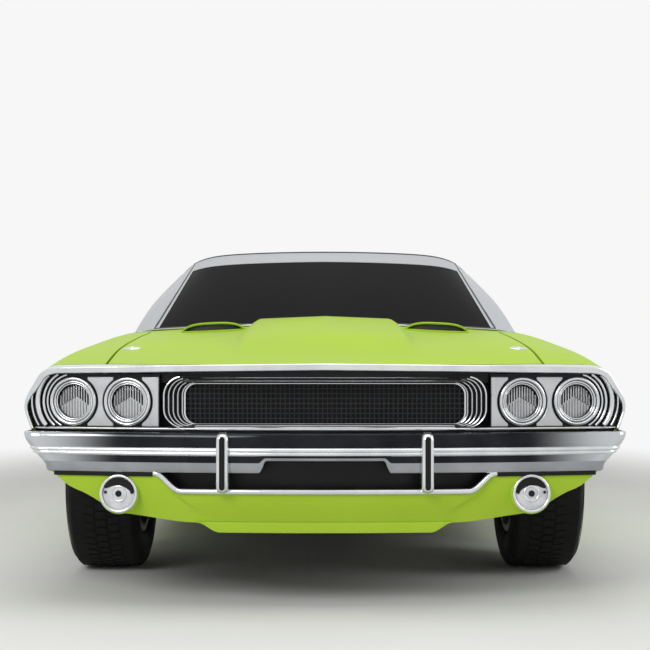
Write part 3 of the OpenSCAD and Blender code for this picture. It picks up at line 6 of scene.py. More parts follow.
import bmesh
import bpy
import numpy as np
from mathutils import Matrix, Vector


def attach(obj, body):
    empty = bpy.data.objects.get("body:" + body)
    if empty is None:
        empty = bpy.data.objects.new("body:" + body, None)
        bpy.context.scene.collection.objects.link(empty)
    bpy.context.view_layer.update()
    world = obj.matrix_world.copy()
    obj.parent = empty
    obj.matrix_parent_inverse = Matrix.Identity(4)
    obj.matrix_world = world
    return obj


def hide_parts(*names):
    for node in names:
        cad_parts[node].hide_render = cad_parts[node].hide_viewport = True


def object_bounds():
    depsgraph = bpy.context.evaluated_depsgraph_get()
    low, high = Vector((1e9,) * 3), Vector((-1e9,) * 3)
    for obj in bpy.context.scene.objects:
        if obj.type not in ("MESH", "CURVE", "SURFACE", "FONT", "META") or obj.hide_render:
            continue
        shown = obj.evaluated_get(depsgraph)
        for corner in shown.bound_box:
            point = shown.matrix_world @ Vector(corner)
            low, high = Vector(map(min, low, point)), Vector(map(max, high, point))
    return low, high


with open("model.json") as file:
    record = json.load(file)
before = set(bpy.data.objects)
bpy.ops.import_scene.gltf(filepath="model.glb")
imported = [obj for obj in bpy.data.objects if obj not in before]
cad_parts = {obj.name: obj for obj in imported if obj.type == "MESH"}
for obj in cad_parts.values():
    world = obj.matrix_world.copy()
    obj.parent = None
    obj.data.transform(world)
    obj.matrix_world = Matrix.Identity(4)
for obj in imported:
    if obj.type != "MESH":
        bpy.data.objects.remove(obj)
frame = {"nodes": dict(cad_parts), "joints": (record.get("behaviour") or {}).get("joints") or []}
cad_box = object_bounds()
nodes = frame["nodes"]
joints = {joint["name"]: joint for joint in frame["joints"]}

# Sizes in metres. The frame gives the length and the wheels, the rest repeats the solids' own sizes.
FRONT, REAR = cad_box[0][1], cad_box[1][1]
LENGTH = REAR - FRONT
WHEEL_X, FRONT_AXLE_Y, WHEEL_Z = joints["wheel_front_left_spin"]["pos_m"]
REAR_AXLE_Y = joints["wheel_rear_left_spin"]["pos_m"][1]
HALF_W, WAIST_SHARE = 0.965, 1.0055
WAIST_W = HALF_W * WAIST_SHARE
LEVEL_H, CAR_H = 1.2901, 1.2899
ARCH_R = 0.378
PANEL_T, LID_T = 0.006, 0.024
GAP, LID_GAP, SEAT = 0.009, 0.014, 0.0003
DOOR_IN_X, BELT_X, SILL_TOP = 0.772, 0.808, 0.300
NOSE_SET, NOSE_SWEEP, FRAME_DEPTH = 0.090, 0.130, 0.045
GRILLE_Z, PANEL_H = 0.5601, 0.160
BUMPER_Z, BUMPER_H, BUMPER_OUT = 0.4271, 0.122, 0.018
FRAME_LOW = BUMPER_Z + BUMPER_H + 2 * SEAT

# Body stations: share of the length, then across and up shares of sill, flank, waist,
# shoulder and top edge, and the up share of the centre line.
BODY_SHARES = np.array([
    [0.0330, 0.881, 0.349, 0.948, 0.403, 0.990, 0.490, 0.917, 0.575, 0.715, 0.583, 0.589],
    [0.1030, 0.885, 0.330, 0.952, 0.392, 0.995, 0.487, 0.922, 0.609, 0.725, 0.626, 0.640],
    [0.1955, 0.912, 0.194, 0.969, 0.310, 1.000, 0.482, 0.924, 0.637, 0.734, 0.659, 0.682],
    [0.2980, 0.912, 0.171, 0.964, 0.295, 0.993, 0.473, 0.917, 0.665, 0.746, 0.686, 0.709],
    [0.3910, 0.907, 0.167, 0.962, 0.279, 0.987, 0.459, 0.904, 0.682, 0.829, 0.695, 0.720],
    [0.5140, 0.907, 0.167, 0.964, 0.279, 0.987, 0.456, 0.899, 0.690, 0.829, 0.700, 0.720],
    [0.6170, 0.910, 0.171, 0.969, 0.287, 0.993, 0.465, 0.893, 0.702, 0.829, 0.710, 0.730],
    [0.7000, 0.917, 0.186, 0.974, 0.302, 1.000, 0.488, 0.886, 0.717, 0.815, 0.727, 0.745],
    [0.7720, 0.917, 0.209, 0.974, 0.318, 1.000, 0.504, 0.879, 0.721, 0.720, 0.741, 0.752],
    [0.8640, 0.902, 0.233, 0.964, 0.333, 0.990, 0.508, 0.865, 0.715, 0.684, 0.742, 0.757],
    [0.9380, 0.881, 0.264, 0.948, 0.364, 0.972, 0.508, 0.852, 0.702, 0.684, 0.732, 0.748],
    [0.9750, 0.860, 0.295, 0.927, 0.388, 0.951, 0.504, 0.841, 0.690, 0.684, 0.722, 0.738]])
CORNER_SHARES = (0.5, 0.3, 0.28, 0.5)
BEND = 8
SHOULDER = 2 * BEND + 3
SIDE_COLS, TOP_COLS = 22, 8
SECTION_TOP = SHOULDER + BEND + 1


def at_y(share):
    """Place along the car at a share of its length."""
    return FRONT + share * LENGTH


DOOR_Y0, DOOR_Y1 = at_y(0.3333), at_y(0.5926)
FENDER_BACK, QUARTER_FRONT = DOOR_Y0 - GAP, DOOR_Y1 + GAP
HOOD_BACK = at_y(0.2995) - LID_GAP
LID_Y0, LID_Y1 = at_y(0.8025), at_y(0.9660)
NOSE_Y, TAIL_Y = at_y(BODY_SHARES[0, 0]), at_y(BODY_SHARES[-1, 0])


# Body form

def lerp(a, b, u):
    return a + (b - a) * u


def ease(u):
    v = np.clip(u, 0, 1)
    return v * v * (3 - 2 * v)


def xyz(x, y, z):
    """Points from three coordinates, each an array or one number."""
    return np.stack(np.broadcast_arrays(x, y, z), -1)


def hermite(table, s):
    """Rows of the table at the shares s, on smooth curves through its own rows."""
    key = table[:, 0]
    before = np.vstack([table[:1], table[:-1]])
    after = np.vstack([table[1:], table[-1:]])
    slope = (after - before) / (after[:, :1] - before[:, :1])
    i = np.clip(np.searchsorted(key, s, "right") - 1, 0, len(key) - 2)
    h = (key[i + 1] - key[i])[:, None]
    u = np.clip((s - key[i]) / h[:, 0], 0, 1)[:, None]
    return (table[i] * (2 * u**3 - 3 * u**2 + 1) + slope[i] * h * (u**3 - 2 * u**2 + u)
            + table[i + 1] * (3 * u**2 - 2 * u**3) + slope[i + 1] * h * (u**3 - u**2))


def stations(y):
    return hermite(BODY_SHARES, (np.atleast_1d(y) - FRONT) / LENGTH)


def sections(y):
    """Across and up points of half the body at each y, from the sill over the shoulder to the middle."""
    r = stations(y)
    across = np.concatenate([r[:, 1:10:2], np.zeros((len(r), 1))], 1) * WAIST_W
    up = np.concatenate([r[:, 2:11:2], r[:, 11:12]], 1) * LEVEL_H
    corner = np.stack([across, up], -1)
    points = [corner[:, 0]]
    for i, share in enumerate(CORNER_SHARES, 1):
        p = lerp(corner[:, i], corner[:, i - 1], share)
        q = lerp(corner[:, i], corner[:, i + 1], share)
        for u in np.arange(BEND + 1) / BEND:
            points.append((1 - u)**2 * p + 2 * u * (1 - u) * corner[:, i] + u * u * q)
    points.append(corner[:, -1])
    return np.stack(points, 1)


def between(keys, values, want):
    """Values at want, straight between rising keys, one row of keys for each want."""
    i = np.clip((keys < want[:, None]).sum(1) - 1, 0, keys.shape[1] - 2)
    n = np.arange(len(want))
    k0, k1 = keys[n, i], keys[n, i + 1]
    return lerp(values[n, i], values[n, i + 1], np.clip((want - k0) / (k1 - k0), 0, 1))


def deck_z(x, y):
    """Height of the body's upper side."""
    x, y = np.broadcast_arrays(np.asarray(x, float), np.asarray(y, float))
    q = sections(y.ravel())[:, SHOULDER:][:, ::-1]
    return between(q[..., 0], q[..., 1], np.abs(x).ravel()).reshape(x.shape)


def side_x(z, y):
    """Distance of the body side from the middle."""
    z, y = np.broadcast_arrays(np.asarray(z, float), np.asarray(y, float))
    q = sections(y.ravel())[:, :SECTION_TOP]
    return between(q[..., 1], q[..., 0], z.ravel()).reshape(z.shape)


def edge_x(y):
    """Edge between the body side and the lids."""
    return (stations(np.ravel(y))[:, 9] * WAIST_W).reshape(np.shape(y))


def low_z(y):
    """Lower edge of the body side, raised over the wheels."""
    base = stations(y)[:, 2] * LEVEL_H
    d = np.minimum(np.abs(y - FRONT_AXLE_Y), np.abs(y - REAR_AXLE_Y))
    arch = WHEEL_Z + np.sqrt(np.maximum(ARCH_R**2 - d**2, 0))
    return np.where(d < ARCH_R, np.maximum(base, arch), base)


def face_y(x):
    """Bow of the nose."""
    return FRONT + NOSE_SET + NOSE_SWEEP * (x / HALF_W)**2


def bumper_y(x):
    return FRONT + BUMPER_OUT + NOSE_SWEEP * (x / HALF_W)**2


def side_rows(y, low, x_end):
    """Rows of body side points from the lower edge up over the shoulder to x_end."""
    q = sections(y)
    side, top = q[:, :SECTION_TOP], q[:, SHOULDER:][:, ::-1]
    columns = []
    for i in range(SIDE_COLS):
        z = lerp(low, q[:, SHOULDER, 1], i / SIDE_COLS)
        columns.append(xyz(between(side[..., 1], side[..., 0], z), y, z))
    for j in range(SHOULDER, SECTION_TOP):
        columns.append(xyz(q[:, j, 0], y, q[:, j, 1]))
    for i in range(1, TOP_COLS + 1):
        x = lerp(q[:, SHOULDER + BEND, 0], x_end, i / TOP_COLS)
        columns.append(xyz(x, y, between(top[..., 0], top[..., 1], np.abs(x))))
    return np.stack(columns, 1)


def swept_rows(y, low, x_end):
    """side_rows where each column has its own y: y is rows by columns."""
    return np.stack([side_rows(y[:, j], low, x_end(y[:, j]))[:, j] for j in range(y.shape[1])], 1)


# Shapes. A part is its points and its faces.

MIRROR = np.array([-1, 1, 1])

# Right, up and out of a drawn part, as directions in the car.
FACING_LEFT = ((0, 1, 0), (0, 0, 1), (1, 0, 0))
FACING_IN = ((0, 1, 0), (0, 0, 1), (-1, 0, 0))
FACING_FRONT = ((1, 0, 0), (0, 0, 1), (0, -1, 0))
FACING_BACK = ((-1, 0, 0), (0, 0, 1), (0, 1, 0))


def outer_loop(grid):
    """Points round the edge of a grid."""
    return np.concatenate([grid[0], grid[1:, -1], grid[-1, -2::-1], grid[-2:0:-1, 0]])


def shell(outer, inner):
    """Closed skin between an outer and an inner grid of points."""
    count = outer.shape[0] * outer.shape[1]
    i = np.arange(count).reshape(outer.shape[:2])
    quads = np.stack([i[:-1, :-1], i[:-1, 1:], i[1:, 1:], i[1:, :-1]], -1).reshape(-1, 4)
    rim = outer_loop(i)
    after = np.roll(rim, -1)
    walls = np.stack([after, rim, rim + count, after + count], -1)
    return np.concatenate([outer.reshape(-1, 3), inner.reshape(-1, 3)]), [
        *quads.tolist(), *(quads[:, ::-1] + count).tolist(), *walls.tolist()]


def loft(loops, closed=False):
    """Skin through equal loops of points, capped at both ends unless it closes on itself."""
    loops = np.asarray(loops, float)
    rows, cols = loops.shape[:2]
    i = np.arange(rows * cols).reshape(rows, cols)
    faces = []
    for r in range(rows if closed else rows - 1):
        here, there = i[r], i[(r + 1) % rows]
        for c in range(cols):
            d = (c + 1) % cols
            faces.append([here[c], here[d], there[d], there[c]])
    if not closed:
        faces += [i[0, ::-1].tolist(), i[-1].tolist()]
    return loops.reshape(-1, 3), faces


def offset(grid, t):
    """The grid moved inwards by t, for rows that run back and columns that run up and over."""
    n = np.cross(np.gradient(grid, axis=1), np.gradient(grid, axis=0))
    return grid + t * n / np.maximum(np.linalg.norm(n, axis=-1, keepdims=True), 1e-9)


def plate(grid, t):
    """Closed sheet of thickness t under a grid."""
    return shell(grid, offset(grid, t))


def mirrored(part):
    points, faces = part
    return points * MIRROR, [list(q)[::-1] for q in faces]


def joined(*parts):
    points, faces, start = [], [], 0
    for p, f in parts:
        points.append(np.asarray(p, float))
        faces += [[k + start for k in q] for q in f]
        start += len(p)
    return np.concatenate(points), faces


def both(part):
    """The part and its mirror image on the car's other side."""
    return joined(part, mirrored(part))


def full(grid):
    """Whole grid from the half that ends in the middle of the car."""
    return np.concatenate([grid, grid[:, -2::-1] * MIRROR], 1)


def prism(outline, near, far, axis):
    """Flat outline of two coordinates, drawn out along an axis: 0 across, 1 along, 2 up."""
    outline = np.asarray(outline, float)
    return loft([np.insert(outline, axis, at, 1) for at in (near, far)])


def raised(outline, out):
    """Points of a flat outline at one height."""
    return np.insert(outline, 2, out, 1)


def block(low, high):
    (x0, y0, z0), (x1, y1, z1) = low, high
    return prism([(x0, y0), (x1, y0), (x1, y1), (x0, y1)], z0, z1, 2)


def turns(count):
    """Even angles round a circle."""
    return np.linspace(0, 2 * math.pi, count, endpoint=False)


def rounded(w, h, r, steps=8):
    """Rectangle with round corners, as across and up points round the origin."""
    points = []
    for quarter, (sx, sy) in enumerate([(1, 1), (-1, 1), (-1, -1), (1, -1)]):
        for a in np.linspace(0, math.pi / 2, steps + 1) + quarter * math.pi / 2:
            points.append((sx * (w / 2 - r) + r * math.cos(a), sy * (h / 2 - r) + r * math.sin(a)))
    return np.array(points)


def spline(points, count):
    """Even samples of a smooth curve through the points."""
    p = np.asarray(points, float)
    d = np.concatenate([[0], np.cumsum(np.linalg.norm(np.diff(p, axis=0), axis=1))])
    return hermite(np.column_stack([d, p]), np.linspace(0, d[-1], count))[:, 1:]


def tube(path, r, sides=8, closed=False, flat=1.0):
    """Round bar along a path. flat below 1 presses it thinner upward."""
    path = np.asarray(path, float)
    if closed:
        t = np.roll(path, -1, 0) - np.roll(path, 1, 0)
    else:
        t = np.gradient(path, axis=0)
    t = t / np.linalg.norm(t, axis=1, keepdims=True)
    up = np.where(np.abs(t[:, 2:3]) > 0.9, [[0, 1, 0]], [[0, 0, 1]])
    side = np.cross(t, up)
    side /= np.linalg.norm(side, axis=1, keepdims=True)
    rise = np.cross(side, t)
    a = turns(sides)[None, :, None]
    ring_points = np.cos(a) * side[:, None] + flat * np.sin(a) * rise[:, None]
    return loft(path[:, None] + r * ring_points, closed)


def revolved(profile, segments=48):
    """Closed ring from a closed outline of radius and height, about the third axis."""
    a = turns(segments)[:, None]
    r, height = np.asarray(profile, float).T
    return loft(xyz(np.cos(a) * r, np.sin(a) * r, height), closed=True)


def dome(profile, segments=48):
    """Turned solid whose outline of radius and height starts and ends on the axis."""
    a = turns(segments)
    p = np.asarray(profile, float)
    r, height = p[1:-1, :1], p[1:-1, 1:]
    points, faces = loft(xyz(r * np.cos(a), r * np.sin(a), height))
    faces = faces[:-2]
    first = len(points)
    last_ring = first - segments
    points = np.concatenate([points, [[0, 0, p[0, 1]], [0, 0, p[-1, 1]]]])
    for k in range(segments):
        faces.append([first, (k + 1) % segments, k])
    for k in range(segments):
        faces.append([first + 1, last_ring + k, last_ring + (k + 1) % segments])
    return points, faces


def cylinder(r, low, high, segments=48):
    return dome([(0, low), (r, low), (r, high), (0, high)], segments)


def ring(r, out, thick):
    """Ring of a round bar, lying at the height out."""
    return revolved([(r + thick * math.cos(a), out + thick * math.sin(a)) for a in turns(12)], 72)


def placed(part, origin, right, up, out):
    """Part drawn in right, up and out coordinates, put in the car's frame."""
    points, faces = part
    axes = np.array([right, up, out], float)
    return np.asarray(origin, float) + points @ axes, faces


def moved(part, right=0.0, up=0.0, out=0.0):
    points, faces = part
    return points + np.array([right, up, out]), faces


# Meshes and objects

MERGE_DISTANCE = 1e-6
EDGE_STEPS, EDGE_ANGLE = 2, 50


def raw_mesh(name, part):
    points, faces = part
    mesh = bpy.data.meshes.new(name)
    mesh.from_pydata(np.asarray(points, float).tolist(), [], [list(map(int, q)) for q in faces])
    return mesh


def clean_mesh(name, part):
    """Mesh of a part with its doubles merged and its faces pointing outwards."""
    mesh = raw_mesh(name, part)
    bm = bmesh.new()
    bm.from_mesh(mesh)
    bmesh.ops.remove_doubles(bm, verts=bm.verts, dist=MERGE_DISTANCE)
    bmesh.ops.recalc_face_normals(bm, faces=bm.faces)
    bm.to_mesh(mesh)
    bm.free()
    return mesh


def linked(name, data):
    obj = bpy.data.objects.new(name, data)
    bpy.context.scene.collection.objects.link(obj)
    return obj


def shaped(obj, helper):
    """Part that the object's modifiers make. The object and its helper are then removed."""
    mesh = bpy.data.meshes.new_from_object(obj.evaluated_get(bpy.context.evaluated_depsgraph_get()))
    part = np.array([v.co[:] for v in mesh.vertices]), [list(q.vertices) for q in mesh.polygons]
    for used in (obj, helper):
        bpy.data.objects.remove(used)
    return part


def carved(part, *cutters):
    """The part with the cutters taken away."""
    solid = linked("carving", clean_mesh("carving", part))
    tool = linked("carving", clean_mesh("carving", joined(*cutters)))
    cut = solid.modifiers.new("cut", "BOOLEAN")
    cut.object = tool
    cut.solver = "EXACT"
    return shaped(solid, tool)


FINISHES = {}


def piece(name, part, finish, body="body", instead=(), sharp=38, bevel=0.0):
    """Plain mesh object at the origin that rides on a body, shows a finish and stands for solids."""
    mesh = clean_mesh(name, part)
    mesh.shade_smooth()
    mesh.set_sharp_from_angle(angle=math.radians(sharp))
    slot, material = FINISHES[finish]
    mesh.materials.append(material)
    obj = linked(name, mesh)
    if bevel:
        edge = obj.modifiers.new("rolled_edge", "BEVEL")
        edge.width = bevel
        edge.segments = EDGE_STEPS
        edge.limit_method = "ANGLE"
        edge.angle_limit = math.radians(EDGE_ANGLE)
        edge.harden_normals = False
    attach(obj, body)
    if instead:
        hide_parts(*instead)
    return obj


# Finishes

# The sockets of a Mix node share their names, so its colours go by number.
MIX_FACTOR, MIX_FIRST, MIX_SECOND, MIX_RESULT = 0, 6, 7, 2


def tone(code):
    """Linear colour of an sRGB code such as A9D038."""
    parts = [int(code[i:i + 2], 16) / 255 for i in (0, 2, 4)]
    return (*[p / 12.92 if p <= 0.04045 else ((p + 0.055) / 1.055)**2.4 for p in parts], 1.0)


def feed(tree, socket, value):
    """Link a socket, or set it to a plain value."""
    if isinstance(value, bpy.types.NodeSocket):
        tree.links.new(value, socket)
    else:
        socket.default_value = value


def node(tree, kind, settings=(), **inputs):
    made = tree.nodes.new(kind)
    for key, value in dict(settings).items():
        setattr(made, key, value)
    for key, value in inputs.items():
        feed(tree, made.inputs[key.replace("_", " ")], value)
    return made


def worked(tree, operation, *values, clamp=False):
    """Result of a Math node."""
    made = node(tree, "ShaderNodeMath", {"operation": operation, "use_clamp": clamp})
    for socket, value in zip(made.inputs, values):
        feed(tree, socket, value)
    return made.outputs[0]


def mixed(tree, factor, a, b):
    """Colour between a and b by the factor."""
    made = node(tree, "ShaderNodeMix", {"data_type": "RGBA"})
    for number, value in ((MIX_FACTOR, factor), (MIX_FIRST, a), (MIX_SECOND, b)):
        feed(tree, made.inputs[number], value)
    return made.outputs[MIX_RESULT]


def spread(tree, value, low, high):
    """The value from 0 to 1 spread over a range."""
    return node(tree, "ShaderNodeMapRange", Value=value, To_Min=low, To_Max=high).outputs["Result"]


def smooth_step(tree, value, low, high):
    """0 below low, 1 above high, with a soft run between."""
    made = node(tree, "ShaderNodeMapRange", {"interpolation_type": "SMOOTHSTEP"},
                Value=value, From_Min=low, From_Max=high)
    return made.outputs["Result"]


def group(name, inputs, output):
    """Shader node group with a Vector input, other plain inputs and one output."""
    tree = bpy.data.node_groups.new(name, "ShaderNodeTree")
    tree.interface.new_socket(name="Vector", in_out="INPUT", socket_type="NodeSocketVector")
    for label, default in inputs.items():
        socket = tree.interface.new_socket(name=label, in_out="INPUT", socket_type="NodeSocketFloat")
        socket.default_value = default
    tree.interface.new_socket(name=output, in_out="OUTPUT", socket_type="NodeSocketFloat")
    given = tree.nodes.new("NodeGroupInput").outputs
    return tree, given, tree.nodes.new("NodeGroupOutput").inputs[output]


def make_mottle():
    """Soft patches, 0 to 1, for shade and gloss that are never quite even."""
    tree, given, put = group("mottle", {"Scale": 6.0}, "Mask")
    noise = node(tree, "ShaderNodeTexNoise", Vector=given["Vector"], Scale=given["Scale"],
                 Detail=4.0, Roughness=0.55)
    feed(tree, put, smooth_step(tree, noise.outputs["Fac"], 0.34, 0.66))
    return tree


def make_road_dust():
    """Dust that thins out above a height, broken up by specks."""
    tree, given, put = group("road_dust", {"Height": 0.5, "Amount": 0.3}, "Mask")
    up = node(tree, "ShaderNodeSeparateXYZ", Vector=given["Vector"]).outputs["Z"]
    fade = node(tree, "ShaderNodeMapRange", Value=up, From_Min=given["Height"], From_Max=0.05)
    specks = node(tree, "ShaderNodeTexNoise", Vector=given["Vector"], Scale=38.0, Detail=6.0, Roughness=0.7)
    broken = worked(tree, "MULTIPLY", fade.outputs["Result"], specks.outputs["Fac"])
    feed(tree, put, worked(tree, "MULTIPLY", broken, given["Amount"], clamp=True))
    return tree


def make_grain():
    """Fine relief: the peel of a sprayed coat, cast skin, leather or moulded plastic."""
    tree, given, put = group("grain", {"Scale": 400.0, "Cells": 0.3}, "Height")
    place = {"Vector": given["Vector"], "Scale": given["Scale"]}
    fine = node(tree, "ShaderNodeTexNoise", Detail=3.0, **place)
    cells = node(tree, "ShaderNodeTexVoronoi", {"feature": "SMOOTH_F1"}, **place)
    blend = node(tree, "ShaderNodeMix", Factor=given["Cells"], A=fine.outputs["Fac"],
                 B=cells.outputs["Distance"])
    feed(tree, put, blend.outputs[0])
    return tree


def make_brushing():
    """Streaks drawn out along the car's width, as on polished and rolled metal."""
    tree, given, put = group("brushing", {"Scale": 90.0}, "Mask")
    drawn = node(tree, "ShaderNodeMapping", Vector=given["Vector"], Scale=(0.05, 1.0, 1.0))
    noise = node(tree, "ShaderNodeTexNoise", Vector=drawn.outputs["Vector"], Scale=given["Scale"],
                 Detail=5.0)
    feed(tree, put, noise.outputs["Fac"])
    return tree


MOTTLE, ROAD_DUST, GRAIN, BRUSHING = make_mottle(), make_road_dust(), make_grain(), make_brushing()
DUST = tone("8C857A")
SMEAR_SCALE = 5.0


def use(tree, made, vector, **values):
    """Output of a node group placed in a material."""
    placed_group = node(tree, "ShaderNodeGroup", {"node_tree": made}, Vector=vector, **values)
    return placed_group.outputs[0]


def start(name):
    material = bpy.data.materials.new(name)
    material.use_nodes = True
    tree = material.node_tree
    shader = tree.nodes["Principled BSDF"]
    return material, tree, shader, tree.nodes.new("ShaderNodeTexCoord").outputs["Object"]


def keep(name, slot, material, shader, sockets):
    """Set the shader's plain sockets and file the finish under its name."""
    for key, value in sockets.items():
        shader.inputs[key.replace("_", " ")].default_value = value
    FINISHES[name] = (slot, material)


def finish(name, slot, light, dark, rough, patches=6.0, grain=400.0, cells=0.3, relief=0.05, depth=0.0004,
           dust=0.0, dust_height=0.5, brushed=0.0, ends=None, **sockets):
    """Opaque finish: two shades in soft patches, uneven gloss, fine relief and road dust.

    ends gives a painted highlight: the colour towards the sides of the car, and where across it starts and
    is full.
    """
    material, tree, shader, place = start(name)
    patch = use(tree, MOTTLE, place, Scale=patches)
    colour = mixed(tree, patch, tone(dark), tone(light))
    # Painted highlight towards the sides of the car.
    if ends:
        painted_highlight_colour, start_x, full_x = ends
        across = node(tree, "ShaderNodeSeparateXYZ", Vector=place).outputs["X"]
        share = smooth_step(tree, worked(tree, "ABSOLUTE", across), start_x, full_x)
        colour = mixed(tree, share, colour, tone(painted_highlight_colour))
    gloss = spread(tree, use(tree, BRUSHING, place, Scale=brushed) if brushed else patch, *rough)
    if dust:
        film = use(tree, ROAD_DUST, place, Height=dust_height, Amount=dust)
        colour = mixed(tree, film, colour, DUST)
        gloss = worked(tree, "MAXIMUM", gloss, film)
    relief_map = node(tree, "ShaderNodeBump", Height=use(tree, GRAIN, place, Scale=grain, Cells=cells),
                      Strength=relief, Distance=depth)
    feed(tree, shader.inputs["Base Color"], colour)
    feed(tree, shader.inputs["Roughness"], gloss)
    feed(tree, shader.inputs["Normal"], relief_map.outputs["Normal"])
    keep(name, slot, material, shader, sockets)


def clear(name, slot, light, dark, rough, **sockets):
    """Glass or lens: tinted, with a film of smears on its gloss."""
    material, tree, shader, place = start(name)
    patch = use(tree, MOTTLE, place, Scale=SMEAR_SCALE)
    feed(tree, shader.inputs["Base Color"], mixed(tree, patch, tone(dark), tone(light)))
    feed(tree, shader.inputs["Roughness"], spread(tree, patch, *rough))
    keep(name, slot, material, shader, {"Transmission_Weight": 1.0, **sockets})


PLATED = {"patches": 9.0, "grain": 150.0, "relief": 0.02, "dust_height": 0.42, "Metallic": 1.0}
LENS = {"grain": 160.0, "cells": 1.0, "relief": 0.25, "depth": 0.002}

finish("lime_paint", "paint", "ABCB3A", "A6C636", (0.40, 0.48), patches=2.5, grain=900.0, relief=0.03,
       dust=0.15, dust_height=0.36, Specular_IOR_Level=0.09)
finish("roof_paint", "roof_paint", "B2B5B9", "AEB1B5", (0.30, 0.38), patches=3.0, grain=700.0, cells=0.6,
       relief=0.10, Coat_Weight=0.15, Coat_Roughness=0.12)
finish("chrome", "chrome", "C4C7CA", "B6B9BD", (0.05, 0.11), dust=0.10, **PLATED)
# Chrome painted near-black as a painted dark reflection, turning bright towards the car's sides as a painted
# highlight.
finish("deep_chrome", "chrome", "2A2C2F", "202225", (0.06, 0.12), dust=0.06, ends=("C4C7CA", 0.62, 0.90),
       **PLATED)
# Chrome painted grey as a painted reflection of the floor, for the lower face of the front bumper.
finish("grey_chrome", "chrome", "A3A6AA", "95989C", (0.10, 0.18), dust=0.10, **PLATED)
finish("bright_trim", "chrome", "DDDFE1", "D0D3D6", (0.10, 0.18), patches=9.0, grain=180.0, relief=0.03,
       dust=0.08, dust_height=0.42, Metallic=0.85)
# Near-white finish for the bright parts of the headlamps: a painted reflection.
finish("bright_mirror", "chrome", "F8F9FA", "F0F1F3", (0.10, 0.20), patches=20.0, grain=200.0, relief=0.02)
finish("silver_paint", "silver", "CFD1D3", "C2C4C7", (0.26, 0.36), patches=12.0, grain=1200.0, cells=0.7,
       relief=0.05, Metallic=0.45)
finish("black_trim", "black_trim", "131416", "0C0C0E", (0.34, 0.52), patches=14.0, grain=900.0, cells=0.6,
       relief=0.12)
finish("black_gloss", "black_trim", "08080A", "050506", (0.30, 0.42), patches=14.0, grain=700.0, relief=0.04,
       Specular_IOR_Level=0.25)
finish("mesh_grey", "black_trim", "2B2D30", "232528", (0.40, 0.55), patches=40.0, grain=900.0, relief=0.05,
       Specular_IOR_Level=0.25)
finish("black_paint", "chassis", "141415", "0D0D0E", (0.4, 0.6), patches=8.0, grain=220.0, relief=0.12,
       dust=0.35, dust_height=0.5)
finish("red_lens", "red_lens", "A80F12", "8C0A0D", (0.08, 0.16), patches=18.0, Coat_Weight=0.6, **LENS)
finish("amber_lens", "lamp_lens", "E08A1C", "C97512", (0.10, 0.20), patches=18.0, Coat_Weight=0.5, **LENS)
finish("pearl_lens", "lamp_lens", "D9DADC", "C2C4C7", (0.12, 0.22), patches=30.0, grain=180.0, cells=1.0,
       relief=0.3, depth=0.002, Coat_Weight=0.5)
finish("gauge_white", "lamp_lens", "E4E4DE", "CFCFC8", (0.3, 0.45), patches=30.0, grain=500.0, relief=0.04)
finish("cast_iron", "engine_paint", "34373A", "26282B", (0.45, 0.65), patches=10.0, grain=160.0, relief=0.3,
       depth=0.001, dust=0.25, dust_height=0.8, Metallic=0.4)
finish("bare_steel", "steel", "8B8D90", "6A6C6F", (0.3, 0.5), patches=10.0, brushed=70.0, grain=240.0,
       relief=0.1, dust=0.3, dust_height=0.5, Metallic=1.0)
finish("black_leather", "upholstery", "1D1D20", "141416", (0.42, 0.58), patches=7.0, grain=260.0, cells=0.9,
       relief=0.4, depth=0.0012)
finish("tyre_rubber", "rubber", "0C0C0D", "070708", (0.62, 0.80), patches=9.0, grain=320.0, relief=0.25,
       depth=0.001, dust=0.05, dust_height=0.4, Specular_IOR_Level=0.2)
finish("wheel_silver", "wheel_metal", "B6B8BB", "9DA0A4", (0.24, 0.38), patches=9.0, brushed=60.0,
       grain=500.0, relief=0.06, dust=0.25, dust_height=0.6, Metallic=0.85)
clear("tinted_glass", "window", "15181B", "0F1214", (0.01, 0.03), IOR=1.10)
clear("lamp_glass", "lamp_lens", "F4F6F8", "E6EAEE", (0.01, 0.04), IOR=1.3, Alpha=0.22)


# Body panels

SHEET_EDGE, LID_EDGE = 0.0015, 0.002
FRAME_CLEAR, FENDER_HEM, QUARTER_HEM, HEM_SHARE = 0.005, 0.035, 0.040, 0.3
ARCH_ROWS, ARCH_END = 61, 0.02
LIP_R, LIP_IN, FRONT_LIP_START = 0.005, 0.0045, 0.32
LINER_X, LINER_IN, LINER_CLEAR, LINER_T = 0.640, 0.008, 0.0015, 0.005


def hemmed(grid, drop):
    """The grid with its last column turned down."""
    last = grid[:, -1:]
    return np.concatenate([grid, last - [0, 0, HEM_SHARE * drop], last - [0, 0, drop]], 1)


def arch_ys(axle):
    return axle - ARCH_R * np.cos(np.linspace(0, math.pi, ARCH_ROWS))


def fender_grid():
    """Body side from the front frame over the wheel to the door."""
    end = np.array([face_y(HALF_W)])
    across = side_rows(end, np.array([BUMPER_Z]), edge_x(end))[0, :, 0]
    k = np.linspace(0, 1, 17)
    y = lerp((face_y(across) + FRAME_DEPTH + FRAME_CLEAR)[None], FRONT_AXLE_Y - ARCH_R, k[:, None])
    nose = swept_rows(y, lerp(FRAME_LOW, BUMPER_Z, np.clip(k * 3, 0, 1)), edge_x)
    ys = np.concatenate([arch_ys(FRONT_AXLE_Y), np.linspace(FRONT_AXLE_Y + ARCH_R, FENDER_BACK, 18)[1:]])
    low = np.maximum(low_z(ys), np.where(ys < FRONT_AXLE_Y - 0.9 * ARCH_R, BUMPER_Z, 0))
    return hemmed(np.concatenate([nose[:-1], side_rows(ys, low, edge_x(ys))]), FENDER_HEM)


def quarter_grid():
    """Body side from the door over the wheel to the tail."""
    ys = np.concatenate([np.linspace(QUARTER_FRONT, REAR_AXLE_Y - ARCH_R, 24)[:-1], arch_ys(REAR_AXLE_Y),
                         np.linspace(REAR_AXLE_Y + ARCH_R, TAIL_Y, 30)[1:]])
    return hemmed(side_rows(ys, low_z(ys), edge_x(ys)), QUARTER_HEM)


